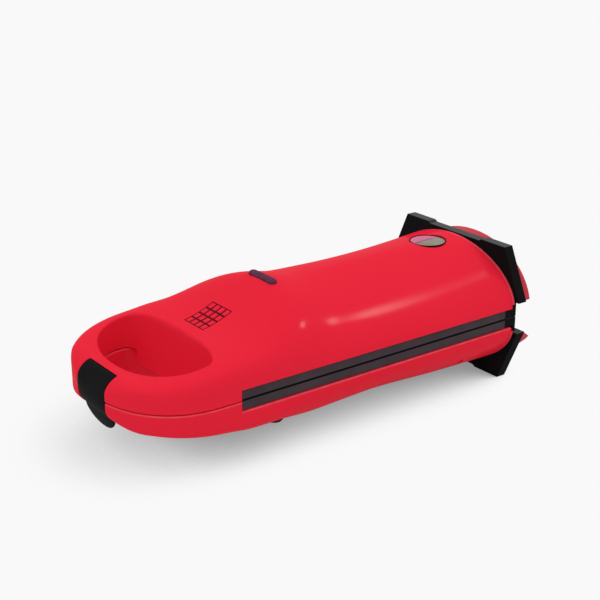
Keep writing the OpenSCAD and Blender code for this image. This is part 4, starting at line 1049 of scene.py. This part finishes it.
# %% [markdown]
# ## World
#
# The world lights the object from all round, more from above than from below. Rays of the camera, gloss
# and glass see the floor's pale tone instead.

# %% World
LIGHT_BELOW, LIGHT_ABOVE = 0.50, 1.27

world = bpy.data.worlds.new("studio")
world.use_nodes = True
bpy.context.scene.world = world
sky = world.node_tree
room_light = sky.nodes["Background"]
room_light.inputs["Color"].default_value = (1, 1, 1, 1)
heading = sky.nodes.new("ShaderNodeTexCoord")
parts = sky.nodes.new("ShaderNodeSeparateXYZ")
height = sky.nodes.new("ShaderNodeMapRange")
height.inputs["To Min"].default_value = LIGHT_BELOW
height.inputs["To Max"].default_value = LIGHT_ABOVE
sky.links.new(heading.outputs["Generated"], parts.inputs[0])
sky.links.new(parts.outputs["Z"], height.inputs["Value"])
sky.links.new(height.outputs["Result"], room_light.inputs["Strength"])
seen_white = sky.nodes.new("ShaderNodeBackground")
seen_white.inputs["Color"].default_value = (PALE, PALE, PALE, 1)
choose = sky.nodes.new("ShaderNodeMixShader")
sky.links.new(seen_by_eye(sky), choose.inputs["Fac"])
sky.links.new(room_light.outputs[0], choose.inputs[1])
sky.links.new(seen_white.outputs[0], choose.inputs[2])
sky.links.new(choose.outputs[0], sky.nodes["World Output"].inputs["Surface"])
print("world light:", (LIGHT_BELOW, LIGHT_ABOVE))

# %% [markdown]
# ## Lamp
#
# One small lamp draws the long highlight on the lid's shoulder. It feeds gloss only, so that the shell's
# even red stays as the world lights it.

# %% Lamp
KEY, KEY_FAR, KEY_SIZE, KEY_POWER = (0.122, 0.659, 0.742), 1.6, (0.2, 0.16), 3.2
KEY_AIM = (0, 0, 0.05)


def panel(name, place, target, size, power):
    """A rectangular soft lamp for gloss only, aimed at a point, all in metres."""
    data = bpy.data.lights.new(name, "AREA")
    data.shape = "RECTANGLE"
    data.size, data.size_y = size
    data.energy = power
    lamp = bpy.data.objects.new(name, data)
    lamp.visible_diffuse = False
    bpy.context.scene.collection.objects.link(lamp)
    lamp.location = place
    lamp.rotation_mode = "QUATERNION"
    lamp.rotation_quaternion = (Vector(target) - Vector(place)).to_track_quat("-Z", "Y")
    return lamp


key = panel("key", [KEY_FAR * v for v in KEY], KEY_AIM, KEY_SIZE, KEY_POWER)
print("lamp at", [round(v, 2) for v in key.location])

bpy.context.scene.view_settings.view_transform = "Standard"
